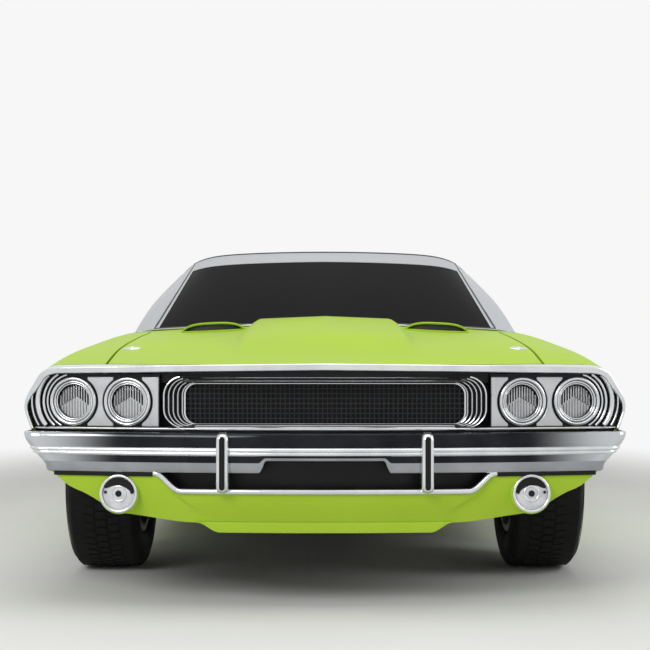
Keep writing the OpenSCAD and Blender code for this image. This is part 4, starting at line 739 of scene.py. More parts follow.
def arch_arc(axle, r, start_angle, count):
    """Arc on the body side round a wheel, as its three coordinates."""
    a = np.linspace(start_angle, math.pi - ARCH_END, count)
    y, z = axle - r * np.cos(a), WHEEL_Z + r * np.sin(a)
    return side_x(z, y), y, z


def arch_lip(axle, start_angle):
    """Rolled edge round a wheel opening."""
    x, y, z = arch_arc(axle, ARCH_R, start_angle, 60)
    return tube(xyz(x - LIP_IN, y, z), LIP_R)


def arch_liner(axle):
    """Wall that closes the space between a wheelhouse and the rolled edge of the body side."""
    walls = []
    for r in (ARCH_R + LINER_CLEAR, ARCH_R + LINER_CLEAR + LINER_T):
        x, y, z = arch_arc(axle, r, ARCH_END, 49)
        walls.append(np.stack([xyz(lerp(LINER_X, x - LINER_IN, u), y, z) for u in np.linspace(0, 1, 5)], 1))
    return shell(walls[1], walls[0])


for name, grid in (("fenders", fender_grid()), ("quarters", quarter_grid())):
    piece(name, both(plate(grid, PANEL_T)), "lime_paint", instead=[name], bevel=SHEET_EDGE)
piece("arch_liners", both(joined(arch_liner(FRONT_AXLE_Y), arch_liner(REAR_AXLE_Y))), "black_paint")
arch_lips = joined(arch_lip(FRONT_AXLE_Y, FRONT_LIP_START), arch_lip(REAR_AXLE_Y, ARCH_END))
piece("arch_lips", both(arch_lips), "lime_paint")

# Hood and trunk lid with their hinges

BULGE_H, BULGE_X, BULGE_RUN, BULGE_START, BULGE_RISE = 0.032, 0.262, 0.060, 0.260, 0.330
HINGE_X, PIN_R, PIN_REACH = 0.230, 0.005, 0.028
POCKET_X, POCKET_LOW, POCKET_HIGH, POCKET_SHORT, POCKET_LONG = 0.020, 0.048, 0.0115, 0.015, 0.090
LUG_T, LUG_CLEAR, LUG_HALF, LUG_TOP = 0.007, 0.0005, 0.010, 0.016
ARM_W, EYE_R, EYE_CLEAR = 0.024, 0.009, 0.0006
ARM_OUTLINE = [(-0.006, -0.0078), (0.006, -0.0078), (0.006, -0.042), (0.078, -0.042), (0.078, -0.006),
               (0.090, -0.006), (0.090, -0.054), (-0.006, -0.054)]


def bulge(x, y):
    """Raised middle of the hood."""
    across = 1 - ease((np.abs(x) - BULGE_X) / BULGE_RUN)
    return BULGE_H * across * ease((y - FRONT - BULGE_START) / BULGE_RISE)


def hood_grid():
    k = np.linspace(0, 1, 81)[:, None]
    edge = edge_x(lerp(face_y(HALF_W), HOOD_BACK, k[:, 0]))[:, None] - GAP
    x = edge * np.linspace(1, 0, 61)[None]
    y = lerp(face_y(x) + FRAME_DEPTH + GAP, HOOD_BACK, k)
    return full(xyz(x, y, deck_z(x, y) + bulge(x, y)))


def deck_grid(y0, y1, inset, rows):
    """Upper side of the body between two places, drawn in from its edges."""
    y = np.linspace(y0, y1, rows)[:, None]
    x = (edge_x(y) - inset) * np.linspace(1, 0, 31)[None]
    return full(xyz(x, y, deck_z(x, y)))


def hinge_pockets(axis_y, axis_z, way):
    """Room for the two hinge arms under a lid. The arms lead away along y by way."""
    y0, y1 = sorted((axis_y - POCKET_SHORT * way, axis_y + POCKET_LONG * way))
    return both(block((HINGE_X - POCKET_X, y0, axis_z - POCKET_LOW),
                      (HINGE_X + POCKET_X, y1, axis_z + POCKET_HIGH)))


def hinge_pins(axis_y, axis_z):
    """Pins across the pockets, each held by two lugs."""
    pin = placed(cylinder(PIN_R, -PIN_REACH, PIN_REACH, 24), (HINGE_X, axis_y, axis_z), *FACING_LEFT)
    lugs = []
    for x in (HINGE_X - POCKET_X - LUG_CLEAR - LUG_T, HINGE_X + POCKET_X + LUG_CLEAR):
        lugs.append(block((x, axis_y - LUG_HALF, axis_z - LUG_HALF),
                          (x + LUG_T, axis_y + LUG_HALF, axis_z + LUG_TOP)))
    return both(joined(pin, *lugs))


def hinged_lid(grid, joint, way):
    _, axis_y, axis_z = joints[joint]["pos_m"]
    pockets = hinge_pockets(axis_y, axis_z, way)
    return joined(carved(plate(grid, LID_T), pockets), hinge_pins(axis_y, axis_z))


def lid_arms():
    """Trunk hinge arms: a ring round each pin and a cranked arm up to the deck panel."""
    _, y, z = joints["trunk_lift"]["pos_m"]
    half, bore = ARM_W / 2, PIN_R + EYE_CLEAR
    eye = revolved([(bore, -half), (EYE_R, -half), (EYE_R, half), (bore, half)], 32)
    arm = prism([(y - a, z + b) for a, b in ARM_OUTLINE], HINGE_X - half, HINGE_X + half, 0)
    return both(joined(placed(eye, (HINGE_X, y, z), *FACING_LEFT), arm))


piece("hood", hinged_lid(hood_grid(), "hood_lift", 1), "lime_paint", "hood", ["hood"], bevel=LID_EDGE)
piece("trunk_lid", hinged_lid(deck_grid(LID_Y0, LID_Y1, GAP, 33), "trunk_lift", -1), "lime_paint",
      "trunk_lid", ["trunk_lid"], bevel=LID_EDGE)
piece("lid_arms", lid_arms(), "black_paint", bevel=SHEET_EDGE)

# Hood pins and scoops

PIN_PLATE_X, PIN_PLATE_Y, SLOPE_STEP = 0.655, -1.920, 0.02
PIN_PLATE = [(0, -0.003), (0.0305, -0.003), (0.0305, 0.0008), (0.0275, 0.0030), (0.0120, 0.0044),
             (0.0100, 0.0042), (0.0080, 0.0044), (0.0070, 0.0066), (0.0050, 0.0074), (0, 0.0076)]
SCOOP_X, SCOOP_W, SCOOP_H, SCOOP_LEN = 0.438, 0.250, 0.033, 0.250
SCOOP_Y = HOOD_BACK - 0.046 - SCOOP_LEN
SCOOP_BOW, SCOOP_SUNK, SCOOP_T, SCOOP_RIM_R = 0.035, 0.004, 0.005, 0.0032
THROAT_IN, THROAT_T = 0.016, 0.004


def pin_plate():
    """Hood-pin plate with the head of its pin, let into the hood beside its edge."""
    x, y, d = PIN_PLATE_X, PIN_PLATE_Y, SLOPE_STEP
    dx = (float(deck_z(x + d, y)) - float(deck_z(x - d, y))) / (2 * d)
    dy = (float(deck_z(x, y + d)) - float(deck_z(x, y - d))) / (2 * d)
    out = np.array([-dx, -dy, 1]) / math.sqrt(dx * dx + dy * dy + 1)
    right = np.cross([0, 1, 0], out)
    right /= np.linalg.norm(right)
    return placed(dome(PIN_PLATE, 40), (x, y, float(deck_z(x, y))), right, np.cross(out, right), out)


def across_scoop(count):
    """Places across a scoop, closer together at its sides."""
    return np.sin(np.linspace(math.pi / 2, -math.pi / 2, count))


def scoop_point(u, v):
    """Point of the scoop's skin: u across from -1 to 1, v back from 0 to 1."""
    x = SCOOP_X + SCOOP_W / 2 * u
    y = SCOOP_Y + SCOOP_LEN * v + SCOOP_BOW * np.abs(u)**2.5 * (1 - v)
    arch = np.maximum(1 - np.abs(u)**3.2, 0)**0.62
    return xyz(x, y, deck_z(x, y) - SCOOP_SUNK + (SCOOP_H + SCOOP_SUNK) * arch * (1 - ease(v)))


def on_hood(points, lift):
    """The points brought down to the hood's skin, and lifted from it."""
    return xyz(points[:, 0], points[:, 1], deck_z(points[:, 0], points[:, 1]) + lift)


def scoop():
    skin = scoop_point(*np.meshgrid(across_scoop(33), np.linspace(0, 1, 17)))
    rim = scoop_point(across_scoop(49), np.zeros(49))
    loop = np.concatenate([rim, on_hood(rim, 0.002)[-2:0:-1]])
    return joined(plate(skin, SCOOP_T), tube(loop, SCOOP_RIM_R, closed=True))


def scoop_shade_wall():
    """Black wall inside the scoop's mouth: painted shade inside the opening."""
    top = scoop_point(across_scoop(25), np.zeros(25)) - [0, 0, 0.004]
    low = on_hood(top, -0.001)
    wall = np.stack([low, np.maximum(top, low)]) + [0, THROAT_IN, 0]
    return shell(wall, wall + [0, THROAT_T, 0])


piece("hood_pins", both(pin_plate()), "bright_trim", "hood")
piece("hood_scoops", both(scoop()), "lime_paint", "hood")
# Black walls in the scoops' mouths: painted shade.
piece("scoop_throats", both(scoop_shade_wall()), "black_trim", "hood")

# Roof, windshield pillars and sail panels

RAIL_X, RAIL_EDGE_SHARE = 0.690, 0.97
ROOF_FRONT, ROOF_REAR, ROOF_CROWN = at_y(0.4530), at_y(0.6340), at_y(0.5350)
ROOF_T, ROOF_EDGE = 0.026, 0.004
ROOF_FALL, ROOF_CAMBER, RAIL_DROP = 0.026, 0.030, 0.095
FRONT_BOW, REAR_BOW = 0.060, 0.030

# Shares of the length and of the width at the pillar's corners.
PILLAR_FOOT_SHARES = [(0.3310, 0.762), (0.3310, 0.828), (0.3235, 0.828), (0.3270, 0.770)]
PILLAR_HEAD_SHARES = [(0.4700, 0.922), (0.4700, 0.985), (0.4590, 0.985), (0.4640, 0.922)]

# Shares of the length and of the body's or the roof's width along the sail panel, and its inward way.
SAIL_FOOT_SHARES = np.array([[0.6650, 1.010], [0.7200, 1.010], [0.7620, 1.006], [0.7980, 1.000],
                             [0.7960, 0.930]])
SAIL_HEAD_SHARES = np.array([[0.6230, 1], [0.6290, 1], [0.6330, 0.995], [0.6370, 0.99], [0.6395, 0.945]])
SAIL_INWARD = np.array([[1, -0.35, 0], [1, 0, 0], [0.87, 0.3, 0], [0.75, 0.6, 0], [0.3, 0.9, 0]])
SAIL_T, SAIL_COLS, SAIL_ROWS = 0.040, 33, 17


def roof_z(x, y):
    u = np.abs(x) / RAIL_X
    v = (y - ROOF_CROWN) / (ROOF_REAR - ROOF_CROWN)
    return CAR_H - ROOF_FALL * v**2 - ROOF_CAMBER * u**2 - RAIL_DROP * u**10


def roof_y0(x):
    return ROOF_FRONT + FRONT_BOW * (x / RAIL_X)**2


def roof_y1(x):
    return ROOF_REAR + REAR_BOW * (x / RAIL_X)**2


def rail_low(y):
    """Inner lower edge of the roof's side rail."""
    dx = RAIL_X * RAIL_EDGE_SHARE - RAIL_X
    dz = roof_z(RAIL_X * RAIL_EDGE_SHARE, y) - roof_z(RAIL_X, y)
    n = np.hypot(dx, dz)
    return RAIL_X - ROOF_T * dz / n, roof_z(RAIL_X, y) + ROOF_T * dx / n


def roof_grid():
    x = RAIL_X * np.concatenate([np.linspace(1, 0.86, 15), np.linspace(0.86, 0, 27)[1:]])[None]
    y = lerp(roof_y0(x), roof_y1(x), np.linspace(0, 1, 41)[:, None])
    return full(xyz(x, y, roof_z(x, y)))


def windshield_pillar():
    foot, head = [], []
    for share, width in PILLAR_FOOT_SHARES:
        x, y = width * HALF_W, at_y(share)
        foot.append((x, y, float(deck_z(x, y)) + SEAT))
    for share, width in PILLAR_HEAD_SHARES:
        x, z = rail_low(at_y(share))
        head.append((x * width, at_y(share), z - SEAT))
    return loft([lerp(np.array(foot), np.array(head), u) for u in np.linspace(0, 1, 9)])


def sail_panel():
    """Panel from the roof's rear corner down to the body, turned in round the back glass."""
    (low_s, low_w), (top_s, top_w) = SAIL_FOOT_SHARES.T, SAIL_HEAD_SHARES.T
    ly, ty = at_y(low_s), at_y(top_s)
    lx, tx = edge_x(ly) * low_w, RAIL_X * top_w
    lift = np.where(low_s < 0.70, 0.0005, 0.0027)
    low = xyz(lx, ly, deck_z(lx, ly) + lift)
    top = xyz(tx + 0.0015, ty, roof_z(tx, ty) + 0.0010)
    rows = lerp(low[:, None], top[:, None], np.linspace(0, 1, SAIL_ROWS)[None, :, None])
    outer = np.stack([spline(rows[:, i], SAIL_COLS) for i in range(SAIL_ROWS)], 1)
    corners = range(len(SAIL_INWARD))
    places = np.linspace(0, corners[-1], SAIL_COLS)
    turn = np.stack([np.interp(places, corners, SAIL_INWARD[:, c]) for c in range(3)], -1)
    return shell(outer, outer - SAIL_T * turn[:, None])


piece("roof", plate(roof_grid(), ROOF_T), "roof_paint", instead=["roof"], bevel=ROOF_EDGE)
piece("windshield_pillars", both(windshield_pillar()), "roof_paint", bevel=0.006)
piece("sail_panels", both(sail_panel()), "roof_paint", bevel=ROOF_EDGE)

# Deck panel and tail panel

DECK_Y0 = at_y(0.7760)
TAIL_LOW, TAIL_T = 0.478, 0.034


def tail_outline(inset):
    """Section of the body at the tail, drawn in."""
    section = full(side_rows(np.array([TAIL_Y]), np.array([TAIL_LOW]), np.zeros(1)))
    grid = np.concatenate([section, section + [0, 0.01, 0]])
    return offset(grid, inset)[0][:, [0, 2]]


piece("deck_panel", plate(deck_grid(DECK_Y0, LID_Y0 - LID_GAP, 2 * SEAT, 13), LID_T), "lime_paint",
      instead=["rear_panels"], bevel=LID_EDGE)
tail_panel = prism(tail_outline(PANEL_T + SEAT), TAIL_Y - TAIL_T, TAIL_Y, 1)
piece("tail_panel", tail_panel, "lime_paint", bevel=LID_EDGE)


# Front frame

LEDGE_T, LEDGE_X, LEDGE_IN, LEDGE_BACK_X = 0.0077, 0.925, 0.020, 0.780
LEDGE_Z = GRILLE_Z - SEAT - LEDGE_T
RADIATOR_Y = FRONT + 0.262
STRIP_THIN, STRIP_THICK, STRIP_Z, STRIP_RISE = 0.009, 0.021, 0.60, 0.12
WALL_T = 0.004


def upright_wall(x, y, low, high, t=WALL_T):
    """Thin wall along a plan line, between two heights."""
    grid = np.stack([xyz(x, y, z) for z in (low, high)])
    return shell(grid, grid + [0, t, 0])


def frame_grid():
    end = np.array([face_y(HALF_W)])
    across = side_rows(end, np.array([FRAME_LOW]), np.zeros(1))[0, :, 0]
    y = face_y(across)[None] + np.linspace(0, FRAME_DEPTH, 5)[:, None]
    return full(swept_rows(y, np.full(5, FRAME_LOW), np.zeros_like))


def ledge():
    """Shelf under the lamps and the grille, back to the radiator support."""
    x = np.linspace(-LEDGE_X, LEDGE_X, 41)
    front = np.stack([x, face_y(x) + LEDGE_IN], -1)
    back = [(LEDGE_BACK_X, RADIATOR_Y - SEAT), (-LEDGE_BACK_X, RADIATOR_Y - SEAT)]
    return prism([*front, *back], LEDGE_Z, LEDGE_Z + LEDGE_T, 2)


def frame_strip():
    """Strip along the hood's edge that wraps the corners and grows thinner down the sides."""
    grid = frame_grid()
    rise = ease((grid[:1, :, 2:] - STRIP_Z) / STRIP_RISE)
    return plate(grid, lerp(STRIP_THIN, STRIP_THICK, rise))


def nose_back():
    """Black walls behind the frame's strip: above the grille, and along the foot of the lamps."""
    top_x, foot_x = np.linspace(-0.54, 0.54, 41), np.linspace(-0.938, 0.938, 61)
    top = deck_z(0.54, face_y(0.54)) - 0.008
    return joined(upright_wall(top_x, face_y(top_x) + 0.0445, 0.700, top),
                  upright_wall(foot_x, face_y(foot_x) + 0.0400, 0.5450, 0.5600))


piece("front_frame", joined(frame_strip(), ledge()), "bright_trim", instead=["front_frame"], bevel=0.003)
piece("nose_back", nose_back(), "black_gloss")

# Headlamps, drawn on a panel that is turned with the bow of the nose

PANEL_X, PANEL_W, PANEL_IN = 0.707, 0.388, 0.030
LAMP_STEP, LAMP_R, LENS_R = 0.180, 0.077, 0.054
PANEL_TURN = math.atan(2 * NOSE_SWEEP * PANEL_X / HALF_W**2)
PANEL_PLACE = ((PANEL_X, face_y(PANEL_X) + PANEL_IN, GRILLE_Z + PANEL_H / 2),
               (math.cos(PANEL_TURN), math.sin(PANEL_TURN), 0), (0, 0, 1),
               (math.sin(PANEL_TURN), -math.cos(PANEL_TURN), 0))
BACK_LOW, BACK_HIGH, BACK_CLEAR = -0.0795, 0.0865, 0.014
PLATE_HALF_H, PLATE_END, PLATE_BACK, PLATE_FRONT = 0.0775, -0.192, -0.005, 0.003
LAMP_ROOM, WAIST_MAX, SIDE_MIN = 0.0825, 0.043, 0.047
RIB_FOOT = 0.0765

# Radius, thickness, upper angle and distance out of each corner rib.
CORNER_RIBS = ((0.0865, 0.0034, 76, 0.001), (0.0985, 0.0042, 60, 0.004), (0.1175, 0.0085, 46, 0.006),
               (0.1350, 0.0030, 40, 0.012))
LAMP_BUCKET = [(LENS_R - 0.001, -0.026), (LAMP_R - 0.004, -0.026), (LAMP_R - 0.004, 0.001), (0.066, -0.002),
               (0.0585, -0.003), (LENS_R - 0.001, -0.004)]
HIGHLIGHT_PEAK, HIGHLIGHT_SLOPE, HIGHLIGHT_DEEP, HIGHLIGHT_CURVE, HIGHLIGHT_T = 0.014, 0.62, 0.023, 0.008, 0.003
FLUTE_OUT, LENS_OUT, LENS_CROWN, LENS_T = -0.0130, 0.006, 0.009, 0.003


def on_panel(part):
    return both(placed(part, *PANEL_PLACE))


def pair(part):
    """The part at both lamps of a panel."""
    return joined(moved(part, LAMP_STEP / 2), moved(part, -LAMP_STEP / 2))


def two_lamps(part):
    return on_panel(pair(part))


def lamp_back():
    """Black wall behind the lamps, out to the inside of the frame."""
    v = np.linspace(BACK_LOW, BACK_HIGH, 15)
    x = side_x(v + PANEL_PLACE[0][2], face_y(0.9)) - BACK_CLEAR
    outer = np.stack([(x - PANEL_X) / math.cos(PANEL_TURN), v], -1)
    wall = prism([(-PANEL_W / 2, BACK_HIGH), (-PANEL_W / 2, BACK_LOW), *outer], -0.014, -0.004, 2)
    return carved(wall, pair(cylinder(LAMP_R - 0.006, -0.04, 0.04)))


def lamp_plates():
    """Waisted plate between the lamps and the plate on their inner side."""
    v = np.linspace(-PLATE_HALF_H, PLATE_HALF_H, 41)
    room = np.sqrt(LAMP_ROOM**2 - v**2)
    waist = np.minimum(LAMP_STEP / 2 - room, WAIST_MAX)
    middle = np.concatenate([np.stack([waist, v], -1), np.stack([-waist, v], -1)[::-1]])
    side = np.stack([-LAMP_STEP / 2 - np.maximum(room, SIDE_MIN), v], -1)
    end = np.stack([np.full(41, PLATE_END), v], -1)
    outlines = (middle, [*end, *side[::-1]])
    return joined(*[prism(outline, PLATE_BACK, PLATE_FRONT, 2) for outline in outlines])


def corner_rib(r, thick, top_angle, out):
    """Arc round the outer end of the lamp pair, from the ledge up under the frame's strip."""
    foot = math.degrees(math.asin(RIB_FOOT / r))
    a = np.radians(np.linspace(-min(foot, top_angle), top_angle, 33))
    return tube(xyz(LAMP_STEP / 2 + r * np.cos(a), r * np.sin(a), out), thick, 10)


def highlight_top(x):
    """Upper edge of the bowl's painted highlight, rising to a point in the middle."""
    return HIGHLIGHT_PEAK - HIGHLIGHT_SLOPE * np.abs(x)


def lamp_painted_highlight():
    """Near-white lower part of the bowl behind the glass: a painted reflection, with the black bowl above it
    as painted dark reflection.
    """
    x = np.linspace(-1, 1, 49) * (LENS_R - 0.001)
    low = -np.sqrt(np.maximum((LENS_R - 0.0008)**2 - x**2, 0))
    high = np.maximum(highlight_top(x), low + 0.0005)
    deep = -HIGHLIGHT_DEEP + HIGHLIGHT_CURVE * (np.abs(x) / LENS_R)**2
    grid = np.stack([xyz(x, lerp(low, high, u), deep) for u in np.linspace(0, 1, 7)])
    return shell(grid, grid - [0, 0, HIGHLIGHT_T])


def lamp_flutes(count, thick, upper):
    """Upright flutes of the glass, above or below the edge of the bowl's painted highlight; the flutes are
    shown bright above that edge and black below it, as painted reflection.
    """
    rods = []
    for x in np.linspace(-0.88, 0.88, count) * LENS_R:
        reach = math.sqrt((LENS_R * 0.97)**2 - x**2)
        split = float(np.clip(highlight_top(x), 0.002 - reach, reach))
        ends = (split, reach * 0.92) if upper else (-reach, split)
        rods.append(tube(xyz(x, np.linspace(*ends, 7), FLUTE_OUT), thick, 6))
    return joined(*rods)


def lamp_lens():
    """Domed clear glass."""
    front = [(r, LENS_OUT - LENS_CROWN * (r / LENS_R)**2) for r in np.linspace(0, LENS_R, 14)]
    return dome([*front, *[(r, z - LENS_T) for r, z in front[::-1]]], 64)


lamp_rings = joined(ring(0.0715, 0.0035, 0.0054), ring(0.0618, 0.0005, 0.0034),
                    ring(0.0558, -0.0015, 0.0022))
lamp_bowl = joined(revolved(LAMP_BUCKET, 72), cylinder(LENS_R, -0.030, -0.024, 64))
piece("lamp_backs", on_panel(lamp_back()), "black_gloss")
piece("headlamp_panels", on_panel(lamp_plates()), "silver_paint", instead=["headlamp_panels"], bevel=0.0025)
piece("corner_ribs", on_panel(joined(*[corner_rib(*row) for row in CORNER_RIBS])), "bright_trim")
piece("headlamps", two_lamps(lamp_rings), "bright_trim", instead=["headlamps"])
# The bowls are black and only their lower parts are near-white: the dark upper and bright lower halves of
# each lamp are painted reflection.
piece("lamp_buckets", two_lamps(lamp_bowl), "black_gloss")
piece("lamp_mirrors", two_lamps(lamp_painted_highlight()), "bright_mirror")
piece("lamp_flutes", two_lamps(lamp_flutes(12, 0.0015, True)), "bright_mirror")
piece("lamp_flutes_dark", two_lamps(lamp_flutes(11, 0.0011, False)), "black_gloss")
piece("lamp_lenses", two_lamps(lamp_lens()), "lamp_glass", sharp=60)

# Grille

GRILLE_W = 2 * (PANEL_X - PANEL_W / 2 - 0.009)
RING_N, RING_STEP, RING_DROP, RING_DEEP, RING_SINK = 5, 0.013, 0.0035, 0.011, 0.0014
GRILLE_CORNER, CORNER_SHRINK = 0.060, 0.0049
GRILLE_DEEP, SURROUND_T = -RING_DEEP * RING_N, 0.008
GRILLE_PLACE = ((0, face_y(GRILLE_W / 2) + 0.014, GRILLE_Z + PANEL_H / 2), *FACING_FRONT)
RIB_STEP, RIB_R, RIB_END, LINE_R = 0.22, 0.0026, 0.052, 0.0018

# Steps inward and height of the flat bright line round the mesh.
MESH_LINE = ((RING_N - 0.42, -0.048), (RING_N - 0.36, -0.046), (RING_N + 0.02, -0.046),
             (RING_N + 0.08, -0.048), (RING_N + 0.08, -0.056), (RING_N - 0.42, -0.056))
MESH_ACROSS, MESH_UP, WIRE = 58, 7, 0.0016


def grille_outline(k):
    """Opening after k steps inward, a little lower with each step."""
    outline = rounded(GRILLE_W - 2 * k * RING_STEP, PANEL_H - 2 * k * RING_DROP,
                      GRILLE_CORNER - CORNER_SHRINK * k, 10)
    return outline - [0, RING_SINK * k]


def grille_steps():
    """Stepped surround, each rib set deeper than the last."""
    steps = []
    for k in range(RING_N):
        out = -RING_DEEP * k
        steps += [(k, out), (k + 0.45, out), (k + 0.9, out - RING_DEEP)]
    back = GRILLE_DEEP - SURROUND_T
    steps += [(RING_N, GRILLE_DEEP), (RING_N, back), (0, back)]
    return loft([raised(grille_outline(k), out) for k, out in steps], closed=True)


def grille_ribs():
    """Bright ribs on the steps at the two ends, and the bright line round the mesh."""
    ribs = []
    for k in range(RING_N):
        outline = raised(grille_outline(k + RIB_STEP), -RING_DEEP * k + 0.0008)
        end = outline[outline[:, 0] > GRILLE_W / 2 - (k + RIB_STEP) * RING_STEP - RIB_END]
        ribs.append(both(tube(end[np.argsort(end[:, 1])], RIB_R)))
    line = loft([raised(grille_outline(k), out) for k, out in MESH_LINE], closed=True)
    return joined(*ribs, line)


def grille_lines():
    """Two thin bright lines above the mesh, along the bow of the nose, and two below."""
    x = np.linspace(-0.45, 0.45, 41)
    lines = [tube(xyz(x, face_y(x) + 0.0415, z), LINE_R, 6) for z in (0.7153, 0.7050)]
    for k in (0.6, 2.4):
        y = GRILLE_PLACE[0][1] + RING_DEEP * int(k) - 0.001
        z = GRILLE_Z + (k - 0.4) * RING_DROP + 0.0015 - RING_SINK * k
        lines.append(tube(xyz(x * 0.9, y, z), LINE_R, 6))
    return joined(*lines)


REPEAT_INPUTS = {"Geometry": "Geometry", "Shape": "Object", "Count": "Int", "Start": "Vector",
                 "Step": "Vector", "Turn": "Float", "Finish": "Material"}


def repeat_tree():
    """Copies of a shape, each moved and turned on from the last."""
    tree = bpy.data.node_groups.new("repeat", "GeometryNodeTree")
    for label, kind in REPEAT_INPUTS.items():
        tree.interface.new_socket(name=label, in_out="INPUT", socket_type="NodeSocket" + kind)
    tree.interface.new_socket(name="Geometry", in_out="OUTPUT", socket_type="NodeSocketGeometry")
    given = tree.nodes.new("NodeGroupInput").outputs
    line = node(tree, "GeometryNodeMeshLine", {"mode": "OFFSET"}, Count=given["Count"],
                Start_Location=given["Start"], Offset=given["Step"])
    shape = node(tree, "GeometryNodeObjectInfo", Object=given["Shape"])
    index = node(tree, "GeometryNodeInputIndex").outputs[0]
    turn = node(tree, "ShaderNodeCombineXYZ", X=worked(tree, "MULTIPLY", index, given["Turn"]))
    copies = node(tree, "GeometryNodeInstanceOnPoints", Points=line.outputs["Mesh"],
                  Instance=shape.outputs["Geometry"], Rotation=turn.outputs[0])
    real = node(tree, "GeometryNodeRealizeInstances", Geometry=copies.outputs[0])
    coat = node(tree, "GeometryNodeSetMaterial", Geometry=real.outputs[0], Material=given["Finish"])
    node(tree, "NodeGroupOutput", Geometry=coat.outputs[0])
    return tree


REPEAT = repeat_tree()


def repeated(part, count, start=(0, 0, 0), step=(0, 0, 0), turn=0.0):
    """Plain points and faces of count copies of the part."""
    shape = linked("shape", raw_mesh("shape", part))
    holder = linked("holder", bpy.data.meshes.new("holder"))
    modifier = holder.modifiers.new("repeat", "NODES")
    modifier.node_group = REPEAT
    values = {"Shape": shape, "Count": count, "Start": start, "Step": step, "Turn": turn,
              "Finish": FINISHES["chrome"][1]}
    for socket in REPEAT.interface.items_tree:
        if socket.in_out == "INPUT" and socket.name in values:
            modifier[socket.identifier] = values[socket.name]
    return shaped(holder, shape)


def grille_mesh():
    w, h = GRILLE_W - 2 * RING_N * RING_STEP, PANEL_H - 2 * RING_N * RING_DROP
    out, low = GRILLE_DEEP - 0.004, -RING_SINK * RING_N
    dx, dz = w / (MESH_ACROSS + 1), h / (MESH_UP + 1)
    upright = block((-WIRE, -h / 2, -0.004), (WIRE, h / 2, 0.0))
    level = block((-w / 2, -WIRE, -0.003), (w / 2, WIRE, 0.001))
    return joined(repeated(upright, MESH_ACROSS, (-w / 2 + dx, low, out), (dx, 0, 0)),
                  repeated(level, MESH_UP, (0, low - h / 2 + dz, out), (0, dz, 0)))


grille_back = prism(grille_outline(RING_N - 0.5), -0.090, -0.086, 2)
piece("grille", placed(grille_steps(), *GRILLE_PLACE), "black_gloss", instead=["grille"])
piece("grille_ribs", placed(grille_ribs(), *GRILLE_PLACE), "bright_trim")
piece("grille_lines", grille_lines(), "bright_trim")
piece("grille_mesh", placed(grille_mesh(), *GRILLE_PLACE), "mesh_grey")
piece("grille_back", placed(grille_back, *GRILLE_PLACE), "black_gloss")

# Front bumper

STEP_SHARE, STEP_RUN, STEP_H = 0.2095, 0.031, 0.037
RIDGE_LOW, RIDGE_OUT, RIDGE_START = 0.44, 0.005, 0.25
CORNER_R, BLADE_T, BLADE_CLEAR, BLADE_BACK = 0.040, 0.016, 0.003, FRONT + 0.330
BAND_T = 0.004
GUARD_X, GUARD_W, GUARD_LOW, GUARD_H = 0.310, 0.038, BUMPER_Z - 0.060, 0.185
GUARD_BACK, GUARD_NOSE, GUARD_ROUND, GUARD_END_SHARE = 0.006, 0.002, 0.012, 0.45


def ridge(low, high):
    """Half-round rib of the blade: depth and share of the height."""
    angles = np.linspace(RIDGE_START, math.pi - RIDGE_START, 7)
    return [(-RIDGE_OUT * math.sin(a), lerp(low, high, (1 - math.cos(a)) / 2)) for a in angles]


# Depth and share of the height up the blade's section.
BLADE = np.array([(0.016, 0.0), (0.0095, 0.0), (0.006, 0.03), (0.0042, 0.09), (0.0028, 0.17), (0.0016, 0.26),
                  (0.0002, 0.43), *ridge(RIDGE_LOW, 0.53), *ridge(0.53, 0.62), (0.0, 0.63), (-0.0012, 0.70),
                  (-0.0014, 0.78), (-0.0006, 0.87), (0.0012, 0.94), (0.0045, 0.985), (0.009, 1.0),
                  (0.016, 1.0)])
RIDGE_FROM, RIDGE_TO = 6, 22


def blade_z(f):
    """Heights up the blade, whose lower edge is raised over the air intake."""
    low = BUMPER_Z + STEP_H * (1 - ease((abs(f) - STEP_SHARE) / STEP_RUN))
    share = BLADE[:, 1]
    under = lerp(low, BUMPER_Z + RIDGE_LOW * BUMPER_H, share / RIDGE_LOW)
    return np.where(share < RIDGE_LOW, under, BUMPER_Z + share * BUMPER_H)


def blade_x(z, y):
    """Outer side of the blade's ends."""
    return side_x(z, y) + BLADE_CLEAR + BLADE_T


def blade_loops():
    """Half the front blade: across the face, round the corner and back along the side."""
    depth, end_z = BLADE[:, 0], blade_z(1)
    corner_x = blade_x(end_z, NOSE_Y) - CORNER_R
    loops = []
    for f in np.concatenate([np.linspace(0, 0.19, 8), np.linspace(0.2, 0.25, 13), np.linspace(0.27, 1, 33)]):
        z = blade_z(f)
        x = f * (blade_x(z, NOSE_Y) - CORNER_R)
        loops.append(xyz(x, bumper_y(x) + depth, z))
    for a in np.linspace(0, math.pi / 2, 11)[1:]:
        r = CORNER_R - depth
        y = bumper_y(corner_x) + CORNER_R - r * math.cos(a)
        loops.append(xyz(corner_x + r * math.sin(a), y, end_z))
    for y in np.linspace(bumper_y(0.930) + 2 * CORNER_R, BLADE_BACK, 15):
        loops.append(xyz(blade_x(end_z, y) - depth, y, end_z))
    return np.array(loops)


def blade_band(low, high):
    """Strip of the blade's skin between two places up its section."""
    half = blade_loops()[:, low:high]
    return plate(np.concatenate([half[:0:-1] * MIRROR, half]), BAND_T)


def bumper_shadow_strip():
    """Black strip along the joint between the blade and the valance: a painted shadow under the blade."""
    x = np.linspace(0.840, 0.527, 33)
    return upright_wall(x, bumper_y(x) + 0.0115, 0.4150, 0.4268, 0.003)


